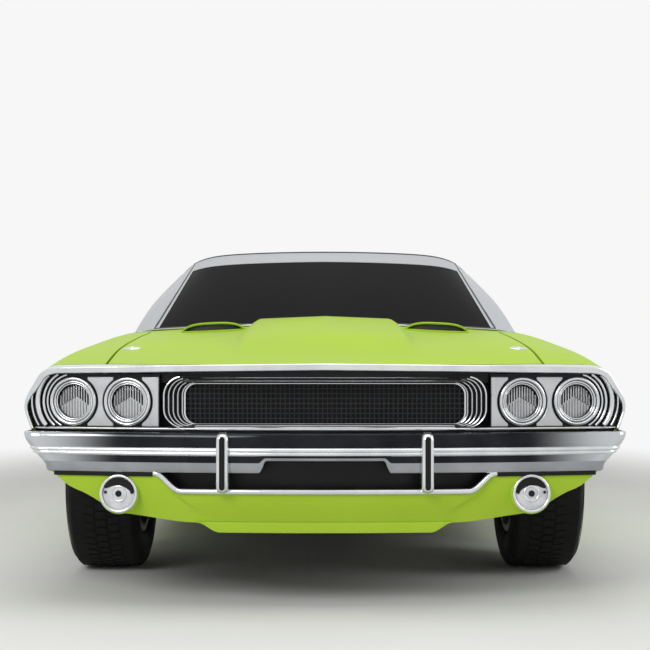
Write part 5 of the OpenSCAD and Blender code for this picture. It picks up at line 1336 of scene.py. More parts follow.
def guard():
    """Upright with a rounded nose and ends, as loops up its height."""
    back = bumper_y(GUARD_X) + GUARD_BACK
    loops = []
    for u in np.linspace(-1, 1, 33):
        z = GUARD_LOW + GUARD_H / 2 * (1 + u)
        fullness = (1 - abs(u)**10)**0.5
        near = lerp(back - GUARD_BACK, FRONT + GUARD_NOSE, fullness)
        half = GUARD_W / 2 * lerp(GUARD_END_SHARE, 1, fullness)
        angles = np.linspace(-1.35, 1.35, 11)
        nose = [(half * math.sin(a), near + (1 - math.cos(a)) * GUARD_ROUND) for a in angles]
        loops.append([(GUARD_X + x, y, z) for x, y in [(-half, back), *nose, (half, back)]])
    return loft(loops)


def guard_strip():
    """Rubber insert with rounded ends, let into the guard's nose."""
    outline = rounded(0.017, GUARD_H - 0.024, 0.0084, 6) + [GUARD_X, GUARD_LOW + GUARD_H / 2]
    return prism(outline, FRONT + 0.0006, FRONT + 0.012, 1)


# The blade is one chrome shown in bands of painted reflection: its upper band and the band above the skirt
# are painted near-black as dark reflection, bright towards the ends as painted highlight, and the skirt is
# painted grey as a reflection of the floor.
piece("front_bumper", blade_band(RIDGE_TO - 1, len(BLADE)), "deep_chrome", instead=["front_bumper"],
      sharp=50)
piece("bumper_ridges", blade_band(RIDGE_FROM, RIDGE_TO), "bright_trim", sharp=70)
piece("bumper_shade", blade_band(RIDGE_FROM - 1, RIDGE_FROM + 1), "deep_chrome", sharp=50)
piece("bumper_skirt", blade_band(0, RIDGE_FROM), "grey_chrome", sharp=50)
# Black strips under the blade: painted shadow.
piece("bumper_seals", both(bumper_shadow_strip()), "black_gloss")
piece("bumper_guards", both(guard()), "bright_trim", sharp=60)
piece("guard_strips", both(guard_strip()), "black_gloss", bevel=0.002)

# Rear bumper

WRAP_X, REAR_SWEEP, REAR_BUMPER_Z = 0.930, 0.090, 0.400


def rear_bumper_y(x):
    return REAR - REAR_SWEEP * (x / HALF_W)**2


def rear_path():
    """Plan of the rear bumper, across the tail and forward along both sides."""
    x = np.linspace(0, WRAP_X - 0.008, 49)
    wrap_y = rear_bumper_y(WRAP_X)
    corner = [(0.938, wrap_y - 0.016), (0.946, wrap_y - 0.048), (0.946, REAR - 0.180), (0.946, REAR - 0.330)]
    bend = spline([(x[-1], rear_bumper_y(x[-1])), *corner], 25)[1:]
    half = np.concatenate([np.stack([x, rear_bumper_y(x)], -1), bend])
    return np.concatenate([half[:0:-1] * MIRROR[:2], half])


def swept(path, section_at):
    """Skin of a section swept along a plan path. section_at gives its depths and heights at a place."""
    t = np.gradient(path, axis=0)
    n = np.stack([-t[:, 1], t[:, 0]], -1) / np.linalg.norm(t, axis=1, keepdims=True)
    loops = []
    for p, inward in zip(path, n):
        depth, height = np.asarray(section_at(p), float).T
        loops.append(np.column_stack([p + inward * depth[:, None], height]))
    return loft(loops)


def rear_section(_):
    return [(max(depth, 0), REAR_BUMPER_Z + share * BUMPER_H) for depth, share in BLADE]


piece("rear_bumper", swept(rear_path()[::-1], rear_section), "chrome", instead=["rear_bumper"], sharp=50)

# Valance and chin

VALANCE_H = 0.156
VALANCE_LOW = BUMPER_Z - VALANCE_H

# Share of the height, share of half the width and share of the rake, up the valance.
VALANCE_ROWS = np.array([[0, 0.684, 1], [0.23, 0.716, 0.78], [0.49, 0.774, 0.5], [0.62, 0.8155, 0.36],
                         [1, 0.876, 0]])
VALANCE_IN, VALANCE_RAKE, VALANCE_SWELL, VALANCE_BACK = 0.014, 0.044, 0.004, FRONT + 0.400
DIP_H, DIP_SHARE, DIP_RUN = 0.055, 0.52, 0.10
END_RISE, END_SHARE, END_RUN = 0.026, 0.60, 0.40
CHIN_X, CHIN_FULL_X, CHIN_RUN, CHIN_DROP = 0.40, 0.33, 0.07, 0.0300


def valance_top(f):
    return VALANCE_H - SEAT - DIP_H * (1 - ease((np.abs(f) - DIP_SHARE) / DIP_RUN))


def valance_z(f, share):
    """Height on the valance's face: its lower edge rises a little towards the ends."""
    return VALANCE_LOW + lerp(END_RISE * ease((f - END_SHARE) / END_RUN), valance_top(f), share)


def valance_grid():
    """Rows rise up the face, columns run from the side's end to the middle."""
    share = np.linspace(0, 1, 15)
    rows = hermite(VALANCE_ROWS, share)
    w, rake = rows[:, 1] * HALF_W, rows[:, 2] * VALANCE_RAKE
    columns = []
    for u in np.linspace(1, 0, 12):
        y = lerp(bumper_y(w) + VALANCE_IN + rake + 0.010, VALANCE_BACK, u)
        columns.append(xyz(w + 0.006 + 0.010 * u, y, valance_z(1, share)))
    outer, bend, middle = np.linspace(1, 0.65, 24), np.linspace(0.63, 0.51, 22), np.linspace(0.48, 0, 16)
    for f in np.concatenate([outer, bend, middle]):
        x = f * w
        swell = VALANCE_SWELL * np.sin(math.pi * share)
        columns.append(xyz(x, bumper_y(x) + VALANCE_IN + rake - swell, valance_z(f, share)))
    return full(np.stack(columns, 1))


def valance_lip():
    """Bright lip along the lower edge of the air intake, turned up at its ends."""
    f = np.linspace(-DIP_SHARE - DIP_RUN, DIP_SHARE + DIP_RUN, 121)
    x = f * VALANCE_ROWS[-1, 1] * HALF_W
    return tube(xyz(x, bumper_y(x) + VALANCE_IN, VALANCE_LOW + valance_top(f) - 0.001), 0.0085, 10)


def chin_section(place):
    """Depths and heights of the chin, which runs out at its ends."""
    drop = CHIN_DROP * (1 - ease((abs(place[0]) - CHIN_FULL_X) / CHIN_RUN))
    top = VALANCE_LOW + 0.003
    low = top - drop - 0.0029
    return [(0.064, low), (0.053, low), (0.050, top - 0.5 * drop), (0.053, top), (0.064, top)]


def chin():
    x = np.linspace(-CHIN_X, CHIN_X, 61)
    return swept(np.stack([x, bumper_y(x)], -1), chin_section)


def intake_back():
    """Black wall behind the air intake."""
    x = np.linspace(-0.60, 0.60, 41)
    return upright_wall(x, bumper_y(x) + 0.085, 0.285, 0.551)


# Turn lamps

TURN_X, TURN_R = 0.633, 0.054
TURN_Z = BUMPER_Z - TURN_R - 0.012
TURN_YAW = 0.5 * math.atan(2 * NOSE_SWEEP * TURN_X / HALF_W**2)
TURN_PLACE = ((TURN_X, bumper_y(TURN_X) + VALANCE_IN, TURN_Z), (math.cos(TURN_YAW), math.sin(TURN_YAW), 0),
              (0, 0.06, 0.998), (math.sin(TURN_YAW), -math.cos(TURN_YAW), 0.06))
TURN_COLLAR = [(TURN_R + 0.009, -0.046), (TURN_R + 0.009, -0.004), (TURN_R + 0.006, 0.003),
               (TURN_R + 0.0015, 0.006), (TURN_R - 0.002, 0.003), (TURN_R - 0.002, -0.046)]
TURN_LENS = [(0, -0.04), (TURN_R - 0.0035, -0.04), (TURN_R - 0.0035, 0.0), (TURN_R * 0.7, 0.0026),
             (TURN_R * 0.4, 0.0036), (0, 0.004)]


def on_valance(part):
    return both(placed(part, *TURN_PLACE))


def turn_painted_shadow():
    """Black upper crescent of the lens: a painted shadow under the bumper."""
    a = np.linspace(0.12 * math.pi, 0.98 * math.pi, 31)
    way = np.stack([np.cos(a), np.sin(a)], -1)
    outer, inner = way * (TURN_R - 0.0045), way * (TURN_R * 0.46)
    thin = np.sin((a - a[0]) / (a[-1] - a[0]) * math.pi)[:, None]**0.5
    inner = lerp((outer + inner) / 2 + (outer - inner) * 0.3, inner, thin)
    return prism([*outer, *inner[::-1]], -0.004, 0.0046, 2)


def turn_dots():
    """Dark screw heads: one in the middle of the lens and one on each side."""
    large, small = cylinder(0.0095, -0.002, 0.0066, 24), cylinder(0.0045, -0.002, 0.0055, 16)
    return joined(large, moved(small, 0.041, 0.004), moved(small, -0.041, 0.004))


turn_hole = on_valance(cylinder(TURN_R + 0.001, -0.2, 0.2))
turn_rims = joined(ring(TURN_R + 0.0005, 0.005, 0.0048), ring(TURN_R * 0.42, 0.0040, 0.0028))
piece("front_valance", carved(plate(valance_grid(), PANEL_T), turn_hole), "lime_paint",
      instead=["front_valance"], bevel=SHEET_EDGE)
piece("valance_lip", valance_lip(), "bright_trim")
piece("chin", chin(), "lime_paint", bevel=0.003)
piece("intake_back", intake_back(), "black_gloss")
piece("turn_collars", on_valance(revolved(TURN_COLLAR, 64)), "lime_paint", sharp=60)
piece("turn_rims", on_valance(turn_rims), "bright_trim", sharp=60)
piece("turn_lenses", on_valance(dome(TURN_LENS, 64)), "pearl_lens", instead=["turn_lamps"], sharp=60)
# Screw heads, and the black crescent over each lens as a painted shadow under the bumper.
piece("turn_shades", on_valance(joined(turn_dots(), turn_painted_shadow())), "black_gloss", sharp=60)

# Tail lamps

TAIL_LAMP = ((0.520, TAIL_Y, 0.5999), *FACING_BACK)
TAIL_BARS, TAIL_HALF_W, TAIL_HALF_H = 5, 0.142, 0.037

# Width, height and distance out of the loops of a tail lamp's frame.
TAIL_FRAME = ((0.300, 0.088, 0.0), (0.300, 0.088, 0.010), (0.294, 0.082, 0.014), (0.288, 0.076, 0.010),
              (0.288, 0.076, 0.0))


def tail_lens():
    """Red lens with upright swells."""
    u = np.linspace(-1, 1, 61)
    swells = 0.011 + 0.004 * np.abs(np.sin((u + 1) * math.pi * TAIL_BARS / 2))**0.5
    heights = np.linspace(-TAIL_HALF_H, TAIL_HALF_H, 9)
    grid = np.array([xyz(u * TAIL_HALF_W, h, swells - 0.004 * (h / TAIL_HALF_H)**4) for h in heights])
    return shell(grid, grid * [1, 1, 0] - [0, 0, 0.012])


tail_frame = loft([raised(rounded(w, h, 0.017), out) for w, h, out in TAIL_FRAME], closed=True)
piece("tail_lamps", both(placed(tail_lens(), *TAIL_LAMP)), "red_lens", instead=["tail_lamps"])
piece("tail_frames", both(placed(tail_frame, *TAIL_LAMP)), "chrome", bevel=0.002)


# Glass

HEAD_IN, FOOT_UP, BELT_UP = 0.0045, 0.0058, 0.0009
WIND_FOOT_X, WIND_HEAD_X, WIND_BOW, WIND_FOOT_Y = 0.726, 0.618, 0.095, at_y(0.3080)
BACK_FOOT_X, BACK_HEAD_X, BACK_FOOT_Y = 0.596, 0.612, at_y(0.7920)
SIDE_T = (-0.006, 0, 0)
SURROUND_PROUD = np.array([0, -0.0012, 0.0028])


def wind_points(u, k):
    """Points of the windshield: u across from -1 to 1, k from its foot to the roof."""
    xl, xt = WIND_FOOT_X * u, WIND_HEAD_X * u
    yl, yt = WIND_FOOT_Y + WIND_BOW * u**2, roof_y0(xt)
    foot = xyz(xl, yl, deck_z(xl, yl) + FOOT_UP)
    head = xyz(xt, yt - HEAD_IN, roof_z(xt, yt) - HEAD_IN)
    return lerp(foot, head, k[..., None])


def back_points(u, k):
    """Points of the back glass: u across from -1 to 1, k from the roof to its foot."""
    xl, xt = BACK_FOOT_X * u, BACK_HEAD_X * u
    yt = roof_y1(xt)
    head = xyz(xt, yt + HEAD_IN, roof_z(xt, yt) - HEAD_IN)
    foot = xyz(xl, BACK_FOOT_Y, deck_z(xl, BACK_FOOT_Y) + FOOT_UP)
    return lerp(head, foot, k[..., None])


def side_points(low, high, clear, t, k):
    """Points of a side window: t runs back, k runs up from the belt to the roof rail."""
    yb, yt = at_y(lerp(*low, t)), at_y(lerp(*high, t))
    x, z = rail_low(yt)
    foot = xyz(BELT_X, yb, deck_z(BELT_X, yb) + BELT_UP)
    return lerp(foot, xyz(x + 0.003, yt, z - clear), k[..., None])


def door_window(t, k):
    return side_points((0.3370, 0.5910), (0.4760, 0.5910), 0.007, t, k)


def quarter_window(t, k):
    return side_points((0.5950, 0.6640), (0.5950, 0.6215), SEAT, t, k)


def pane_grid(points, t0):
    return points(*np.meshgrid(np.linspace(t0, 1, 41), np.linspace(0, 1, 21)))


def pane(points, t0, thick):
    grid = pane_grid(points, t0)
    return shell(grid, grid + thick)


def edge_bars(inset, r):
    """Bars round the edges of the windshield and the back glass."""
    bars = []
    for points in (wind_points, back_points):
        loop = outer_loop(pane_grid(points, -1))
        inward = loop.mean(0) - loop
        inward /= np.linalg.norm(inward, axis=1, keepdims=True)
        bars.append(tube(loop + inward * inset, r, closed=True))
    return joined(*bars)


def windshield_surround():
    """Painted band round the top and sides of the windshield, a little proud of the glass."""
    top = wind_points(*np.meshgrid(np.linspace(-1, 1, 61), np.linspace(0.850, 0.998, 5)))
    k, u = np.meshgrid(np.linspace(0, 1, 25), np.linspace(0.972, 0.999, 4))
    side = wind_points(u, k)
    bands = (top, side, (side * MIRROR)[::-1])
    return joined(*[shell(band + SURROUND_PROUD, band - 0.3 * SURROUND_PROUD) for band in bands])


def on_deck(x, y, lift):
    """Point above the body's upper side."""
    return np.array([x, y, float(deck_z(x, y)) + lift])


def pillar_cover():
    """Rounded face of the windshield pillar, from the edge of the glass to the door window."""
    k = np.linspace(0, 1, 33)
    rise = k[:, None]
    front_y, rear_y = at_y(0.4660), at_y(0.4700)
    front_head = np.array([0.695, front_y, roof_z(RAIL_X, front_y) + 0.002])
    rear_head = np.array([0.686, rear_y, roof_z(RAIL_X, rear_y) - 0.020])
    swell = 0.020 * np.sin(math.pi * rise) * [1, 0, 0]
    inner = wind_points(np.full(33, 0.992), k) + [0, -0.0015, 0.0035]
    outer = lerp(on_deck(0.806, at_y(0.3270), 0.001), front_head, rise) + swell
    rear = lerp(on_deck(0.800, at_y(0.3310), 0.001), rear_head, rise) + 0.8 * swell
    crown = 0.010 * np.sin(math.pi * np.clip(rise * 1.4, 0, 1)) * [0.4, -0.4, 0.6]
    middle = lerp(inner, outer, 0.55) + crown
    grid = np.array([spline(points, 17) for points in zip(inner, middle, outer, rear)])
    return shell(grid, grid + [-0.006, 0.004, -0.006])


def sail_return():
    """Strip that closes the corner between the sail panel and the back glass."""
    k = np.linspace(0, 1, 25)
    glass = back_points(np.full(25, 0.985), k) + [0, 0.002, 0.0035]
    top_x, top_y, low_y = RAIL_X * 0.950, at_y(0.6390), at_y(0.7955)
    top = np.array([top_x, top_y, roof_z(top_x, top_y) + 0.0005])
    low = on_deck(float(edge_x(low_y)) * 0.935, low_y, 0.003)
    sail = lerp(top, low, k[:, None])
    grid = np.stack([lerp(sail, glass, u) for u in np.linspace(0, 1, 6)], 1)
    return shell(grid, grid - [0, 0.004, 0.008])


fixed_panes = joined(pane(wind_points, -1, (0, 0.0025, -0.0054)),
                     pane(back_points, -1, (0, -0.0021, -0.0056)), both(pane(quarter_window, 0, SIDE_T)))
piece("fixed_glass", fixed_panes, "tinted_glass", instead=["fixed_glass"], sharp=60)
door_pane = pane(door_window, 0, SIDE_T)
for side, part in (("left", door_pane), ("right", mirrored(door_pane))):
    piece("door_glass_" + side, part, "tinted_glass", "door_" + side, ["door_glass_" + side], sharp=60)
piece("glass_gaskets", edge_bars(0.004, 0.0065), "black_trim")
piece("glass_mouldings", edge_bars(-0.003, 0.0045), "chrome")
piece("windshield_surround", windshield_surround(), "roof_paint", bevel=0.001)
piece("pillar_covers", both(pillar_cover()), "roof_paint")
piece("sail_returns", both(sail_return()), "roof_paint")

# Doors

DOOR_TOP_X, DOOR_TAPER = 0.800, 0.014
DOOR_HINGE_X, DOOR_HINGE_Y, DOOR_HINGE_SHARES = 0.925608, DOOR_Y0 + 0.060, (0.370, 0.500)
NOTCH_LOW, NOTCH_HIGH, DOOR_PIN_HALF = (-0.084, -0.12, -0.019), (0.013, 0.016, 0.019), 0.0195


def door():
    """Thick door with two notches for its hinges, each crossed by a pin."""
    y = np.linspace(DOOR_Y0, DOOR_Y1, 41)
    outer = side_rows(y, np.full(41, SILL_TOP + GAP), np.full(41, DOOR_TOP_X))
    inner_y = outer[..., 1] - DOOR_TAPER * ((y - DOOR_Y0) / (DOOR_Y1 - DOOR_Y0))[:, None]
    inner_z = lerp(outer[:, :1, 2], outer[:, -1:, 2], np.linspace(0, 1, outer.shape[1])[None])
    notch, pin = block(NOTCH_LOW, NOTCH_HIGH), cylinder(0.006, -DOOR_PIN_HALF, DOOR_PIN_HALF, 24)
    places = [(DOOR_HINGE_X, DOOR_HINGE_Y, share * LEVEL_H) for share in DOOR_HINGE_SHARES]
    leaf = shell(outer, xyz(DOOR_IN_X, inner_y, inner_z))
    leaf = carved(leaf, *[moved(notch, *place) for place in places])
    return joined(leaf, *[moved(pin, *place) for place in places])


left_door = door()
for side, part in (("left", left_door), ("right", mirrored(left_door))):
    piece("door_" + side, part, "lime_paint", "door_" + side, ["door_" + side], bevel=0.002)

# Tyres and wheels, drawn with the third axis pointing out of the car

TYRE_R, TYRE_W, RIM_R, RIM_W = 0.335, 0.252, 0.193, 0.222
RIM_HALF, FLANGE_R, FLANGE_T, WELL_R = RIM_W / 2, RIM_R + 0.013, 0.006, RIM_R - 0.02

# Share of the height and of half the width, up the tyre's side.
TYRE_SIDE = [(0.02, 0.82), (0.10, 0.90), (0.22, 0.955), (0.36, 0.99), (0.52, 1.0), (0.68, 0.985),
             (0.80, 0.95), (0.885, 0.90), (0.94, 0.845), (0.962, 0.78)]
TREAD_COUNT, TREAD_LENGTH, TREAD_SLANT = 64, 0.78, 0.18
TREAD_ROWS = ((-0.102, -0.068), (-0.062, -0.024), (-0.018, 0.018), (0.024, 0.062), (0.068, 0.102))
SIDE_RIBS, RIB_HALF = ((0.246, 0.1255), (0.300, 0.1245), (0.306, 0.1228)), 0.0012

# Outlines of radius and height.
DISC_FACE = [(0.0, 0.030), (0.046, 0.030), (0.056, 0.034), (0.075, 0.050), (0.100, 0.056), (0.128, 0.050),
             (0.152, 0.036), (0.168, 0.024), (0.185, 0.024)]
DISC_T, SLOTS, SLOT_IN, SLOT_OUT, SLOT_TURN = 0.006, 5, 0.112, 0.150, 0.40
RIM = [(RIM_R - 0.010, -RIM_HALF), (FLANGE_R, -RIM_HALF), (FLANGE_R, -RIM_HALF + FLANGE_T),
       (RIM_R, -RIM_HALF + FLANGE_T), (WELL_R, -0.03), (WELL_R, 0.03), (RIM_R, RIM_HALF - FLANGE_T),
       (FLANGE_R, RIM_HALF - FLANGE_T), (FLANGE_R, RIM_HALF), (RIM_R - 0.006, RIM_HALF),
       (RIM_R - 0.028, 0.036), (RIM_R - 0.028, -0.03)]
TRIM_RING = [(RIM_R + r, RIM_HALF + h) for r, h in (
    (0.011, -0.001), (0.011, 0.003), (0.004, 0.006), (-0.006, 0.003), (-0.014, -0.020), (-0.020, -0.044),
    (-0.024, -0.044), (-0.018, -0.020), (-0.010, 0))]
HUB_CAP = [(0, 0.024), (0.038, 0.024), (0.038, 0.052), (0.035, 0.057), (0.024, 0.060), (0.022, 0.064),
           (0, 0.066)]
NUT = [(0, 0.03), (0.0095, 0.03), (0.0095, 0.054), (0.006, 0.059), (0, 0.060)]
NUT_CIRCLE_R = 0.062


def round_axis(part, count):
    """Copies of the part, evenly round the third axis."""
    points, faces = repeated((part[0][:, ::-1], part[1]), count, turn=2 * math.pi / count)
    return points[:, ::-1], faces


def tyre_profile():
    foot, bead = FLANGE_R + SEAT, RIM_HALF - FLANGE_T - SEAT
    wall = [(lerp(foot, TYRE_R, r), w * TYRE_W / 2) for r, w in TYRE_SIDE]
    side = [(RIM_R + SEAT, bead), (foot, bead), *wall]
    inner = [(RIM_R + SEAT, bead * 0.8), (lerp(foot, TYRE_R, 0.3), bead), (lerp(foot, TYRE_R, 0.8), bead),
             (TYRE_R - 0.016, 0.05)]
    return [*side, *[(r, -w) for r, w in side[::-1] + inner], *inner[::-1]]


def tread():
    """Tread blocks in five rows, every other one set back by half a step."""
    step = 2 * math.pi / TREAD_COUNT
    blocks = []
    for row, (low, high) in enumerate(TREAD_ROWS):
        a0 = (row % 2) * step / 2
        a1 = a0 + TREAD_LENGTH * step
        slant = TREAD_SLANT * step * np.sign(2 - row)
        top = TYRE_R - 0.0008 - 0.0035 * (max(abs(low), abs(high)) / 0.1)**2
        corners = ((a0, low), (a1, low), (a1 + slant, high), (a0 + slant, high))
        blocks.append(loft([[(r * math.cos(a), r * math.sin(a), w) for a, w in corners]
                            for r in (TYRE_R - 0.011, top)]))
    return round_axis(joined(*blocks), TREAD_COUNT)


def side_rib(r, w):
    """Raised ring on the sidewall."""
    return revolved([(r - RIB_HALF, w - 0.001), (r, w + 0.0012), (r + RIB_HALF, w - 0.001)], 96)


def wheel_disc():
    """Dished disc with five long slots."""
    disc = dome([*DISC_FACE, *[(r, z - DISC_T) for r, z in DISC_FACE[::-1]]], 96)
    slots = []
    for mid in turns(SLOTS):
        a = mid + np.linspace(-SLOT_TURN, SLOT_TURN, 13)
        arc = np.stack([np.cos(a), np.sin(a)], -1)
        slots.append(prism([*(SLOT_OUT * arc), *(SLOT_IN * arc[::-1])], -0.1, 0.2, 2))
    return carved(disc, *slots)


WHEEL_PARTS = (
    ("wheel", joined(wheel_disc(), revolved(RIM, 96)), "wheel_silver"),
    ("trim_ring", revolved(TRIM_RING, 96), "chrome"),
    ("hub_cap", dome(HUB_CAP, 48), "chrome"),
    ("wheel_nuts", round_axis(moved(dome(NUT, 6), NUT_CIRCLE_R), 5), "chrome"),
    ("tyre", joined(revolved(tyre_profile(), 128), *[side_rib(*row) for row in SIDE_RIBS]), "tyre_rubber"),
    ("tread", tread(), "tyre_rubber"))
for end, axle in (("front", FRONT_AXLE_Y), ("rear", REAR_AXLE_Y)):
    for side in ("left", "right"):
        corner = "_" + end + "_" + side
        for name, part, finish_name in WHEEL_PARTS:
            made = placed(part, (WHEEL_X, axle, WHEEL_Z), *FACING_LEFT)
            made = made if side == "left" else mirrored(made)
            instead = [name + corner] if name in ("wheel", "tyre") else ()
            piece(name + corner, made, finish_name, "wheel" + corner, instead,
                  bevel=SHEET_EDGE if name == "wheel" else 0)

# Seats

SIDE_PULL, UNDER_SHARE, PIPING_R = 0.035, 0.30, 0.0042
CHANNEL_DEEP, CHANNEL_HALF = 0.010, 0.007

# Width, length, thickness, channel step, middle and length way of each pad.
FRONT_SEAT = [(0.425, 0.440, 0.085, 0.085, (0.4425, -0.155, 0.355), (0, 1, -0.08)),
              (0.415, 0.555, 0.070, 0.092, (0.4425, 0.216, 0.700), (0, 0.367, 0.930))]
REAR_SEAT = [(0.400, 0.335, 0.080, 0.080, (0.375, 0.690, 0.355), (0, 1, -0.08)),
             (0.560, 0.400, 0.050, 0.092, (0.287, 0.933, 0.640), (0, 0.190, 0.982))]

# Side outline and reach across of a front seat's base and back shell, and of the rear cushion's step.
SEAT_BASES = (
    ([(-0.365, 0.238), (0.200, 0.238), (0.215, 0.330), (-0.372, 0.330)], 0.245, 0.640),
    ([(0.200, 0.345), (0.232, 0.350), (0.370, 0.940), (0.335, 0.955)], 0.255, 0.630),
    ([(0.535, 0.238), (0.960, 0.238), (0.970, 0.330), (0.525, 0.330)], 0.222, 0.570))


def pad(wide, long, thick, channels):
    """Stuffed pad lying flat: crowned, sides drawn in, channels sewn across. The piping goes beside it."""
    s = np.sin(np.linspace(-math.pi / 2, math.pi / 2, 49))
    u, v = np.meshgrid(s, s)
    plump = ((1 - np.abs(u)**7) * (1 - np.abs(v)**7))**0.42
    x = wide / 2 * u * (1 - SIDE_PULL * (1 - v**2))
    y = long / 2 * v * (1 - SIDE_PULL * (1 - u**2))
    top = thick * plump * (0.86 + 0.14 * (1 - u**2) * (1 - v**2))
    for c in channels:
        top = top - CHANNEL_DEEP * plump * np.exp(-((y - c) / CHANNEL_HALF)**2)
    upper, under = xyz(x, y, top), xyz(x, y, -UNDER_SHARE * thick * plump)
    return shell(upper, under), tube(outer_loop(upper), PIPING_R, closed=True)


def seat_pads(places):
    """Pads of a seat and their piping, on both sides."""
    pads, piping = [], []
    for wide, long, thick, step, middle, up in places:
        up = np.array(up) / np.linalg.norm(up)
        out = np.cross([1, 0, 0], up)
        lines = np.arange(-long / 2 + step, long / 2 - 0.4 * step, step)
        for parts, part in zip((pads, piping), pad(wide, long, thick, lines)):
            parts.append(placed(part, middle, (1, 0, 0), up, out))
    return both(joined(*pads)), both(joined(*piping))


for name, places, taken in (("front_seats", FRONT_SEAT, ["seats"]), ("rear_seat", REAR_SEAT, ())):
    pads, piping = seat_pads(places)
    piece(name, pads, "black_leather", instead=taken, sharp=80)
    piece(name + "_piping", piping, "black_trim")
seat_bases = joined(*[prism(outline, near, far, 0) for outline, near, far in SEAT_BASES])
piece("seat_bases", both(seat_bases), "black_trim", bevel=0.008)

# Dashboard

DASH_Y = -0.580
GAUGE_Z, GAUGES = 0.745, ((0.520, 0.046), (0.420, 0.046), (0.320, 0.046), (0.225, 0.040))
GAUGE_RING = ((-0.004, -0.004), (0.004, -0.004), (0.003, 0.006), (-0.002, 0.008), (-0.004, 0.004))
MARK_SHARES, MARK_OUT, HAND_OUT = (0.70, 0.86), 0.0012, 0.0022
GLOVE_KNOB = [(0, 0), (0.011, 0), (0.013, 0.008), (0.011, 0.012), (0, 0.013)]
RADIO_KNOB = [(0, 0), (0.012, 0), (0.010, 0.018), (0, 0.019)]


def on_dash(part, x, z):
    return placed(part, (x, DASH_Y, z), *FACING_BACK)


def dash_plate(x0, x1, z0, z1, out):
    return prism([(x0, z0), (x1, z0), (x1, z1), (x0, z1)], DASH_Y - 0.002, DASH_Y + out, 1)


def gauges():
    """Rings, faces, and marks with hands."""
    rings, faces, hands = [], [], []
    for x, r in GAUGES:
        marks = []
        for a in np.radians(np.linspace(-130, 130, 14)):
            ends = [(r * k * math.sin(a), r * k * math.cos(a), MARK_OUT) for k in MARK_SHARES]
            marks.append(tube(ends, 0.0011, 5))
        marks.append(tube([(0, 0, HAND_OUT), (-0.5 * r, 0.35 * r, HAND_OUT)], 0.0012, 5))
        rings.append(on_dash(revolved([(r + a, b) for a, b in GAUGE_RING], 48), x, GAUGE_Z))
        faces.append(on_dash(cylinder(r - 0.003, -0.004, 0.001, 48), x, GAUGE_Z))
        hands.append(on_dash(joined(*marks), x, GAUGE_Z))
    return joined(*rings), joined(*faces), joined(*hands)


gauge_rings, gauge_faces, gauge_marks = gauges()
piece("gauge_rings", gauge_rings, "chrome")
piece("gauge_faces", gauge_faces, "black_gloss")
piece("gauge_marks", gauge_marks, "gauge_white")
piece("glove_door", dash_plate(-0.545, -0.215, 0.655, 0.775, 0.006), "black_trim", bevel=0.003)
piece("radio_plate", dash_plate(-0.110, 0.110, 0.690, 0.790, 0.005), "silver_paint", bevel=0.002)
radio_knobs = [on_dash(dome(RADIO_KNOB, 24), x, 0.740) for x in (-0.080, 0.080)]
piece("dash_knobs", joined(on_dash(dome(GLOVE_KNOB, 24), -0.380, 0.752), *radio_knobs), "chrome")

# Door trim

TRIM_Y0, TRIM_Y1, TRIM_LOW, TRIM_HIGH = DOOR_Y0 + 0.170, DOOR_Y1 - 0.060, 0.370, 0.810
TRIM_SWELL, GROOVE_DEEP, GROOVE_HALF, GROOVES = 0.009, 0.005, 0.006, (0.680, 0.480)
CRANK_X, CRANK_PLACES = DOOR_IN_X - 0.018, [(-0.420, 0.520), (-0.385, 0.500), (-0.345, 0.485)]
CRANK_BOSS = [(0, 0), (0.016, 0), (0.014, 0.016), (0, 0.018)]
CRANK_KNOB = [(0, 0), (0.010, 0), (0.012, 0.014), (0, 0.020)]
HANDLE_Z, HANDLE_RISE = 0.742, 0.016


def door_trim():
    """Padded inner panel of the left door, with two sewn grooves."""
    y, z = np.meshgrid(np.linspace(TRIM_Y0, TRIM_Y1, 41), np.linspace(TRIM_LOW, TRIM_HIGH, 21),
                       indexing="ij")
    along = np.clip(np.abs(2 * y - TRIM_Y0 - TRIM_Y1) / (TRIM_Y1 - TRIM_Y0), 0, 1)
    up = np.clip(np.abs(2 * z - TRIM_LOW - TRIM_HIGH) / (TRIM_HIGH - TRIM_LOW), 0, 1)
    swell = ((1 - along**8) * (1 - up**8))**0.5
    groove = np.minimum(sum(np.exp(-((z - at) / GROOVE_HALF)**2) for at in GROOVES), 1)
    face = xyz(DOOR_IN_X + 0.001 - TRIM_SWELL * swell + GROOVE_DEEP * swell * groove, y, z)
    return shell(face, xyz(DOOR_IN_X + 0.002, y, z))


def armrest():
    path = xyz(DOOR_IN_X - 0.022, np.linspace(-0.360, 0.060, 25), np.linspace(0.585, 0.600, 25))
    return tube(path, 0.026, 16, flat=0.75)


def door_crank():
    """Window crank: boss, bar and knob."""
    path = [(CRANK_X, y, z) for y, z in CRANK_PLACES]
    boss = placed(dome(CRANK_BOSS, 24), (DOOR_IN_X - 0.006, *CRANK_PLACES[0]), *FACING_IN)
    return joined(boss, tube(path, 0.006, 10), placed(dome(CRANK_KNOB, 20), path[-1], *FACING_IN))


def door_handle():
    """Pull handle on a plate, low on the shoulder at the door's rear end."""
    y = np.linspace(DOOR_Y1 - 0.235, DOOR_Y1 - 0.060, 25)
    rise = HANDLE_RISE * (1 - np.abs(np.linspace(-1, 1, 25))**6)
    heights = np.linspace(HANDLE_Z - 0.020, HANDLE_Z + 0.020, 7)
    back = np.stack([xyz(side_x(h, y) + 0.0012, y, h) for h in heights], 1)
    grip = tube(xyz(side_x(HANDLE_Z, y) + rise, y, HANDLE_Z), 0.0075, 10)
    return joined(grip, shell(back, back - [0.004, 0, 0]))


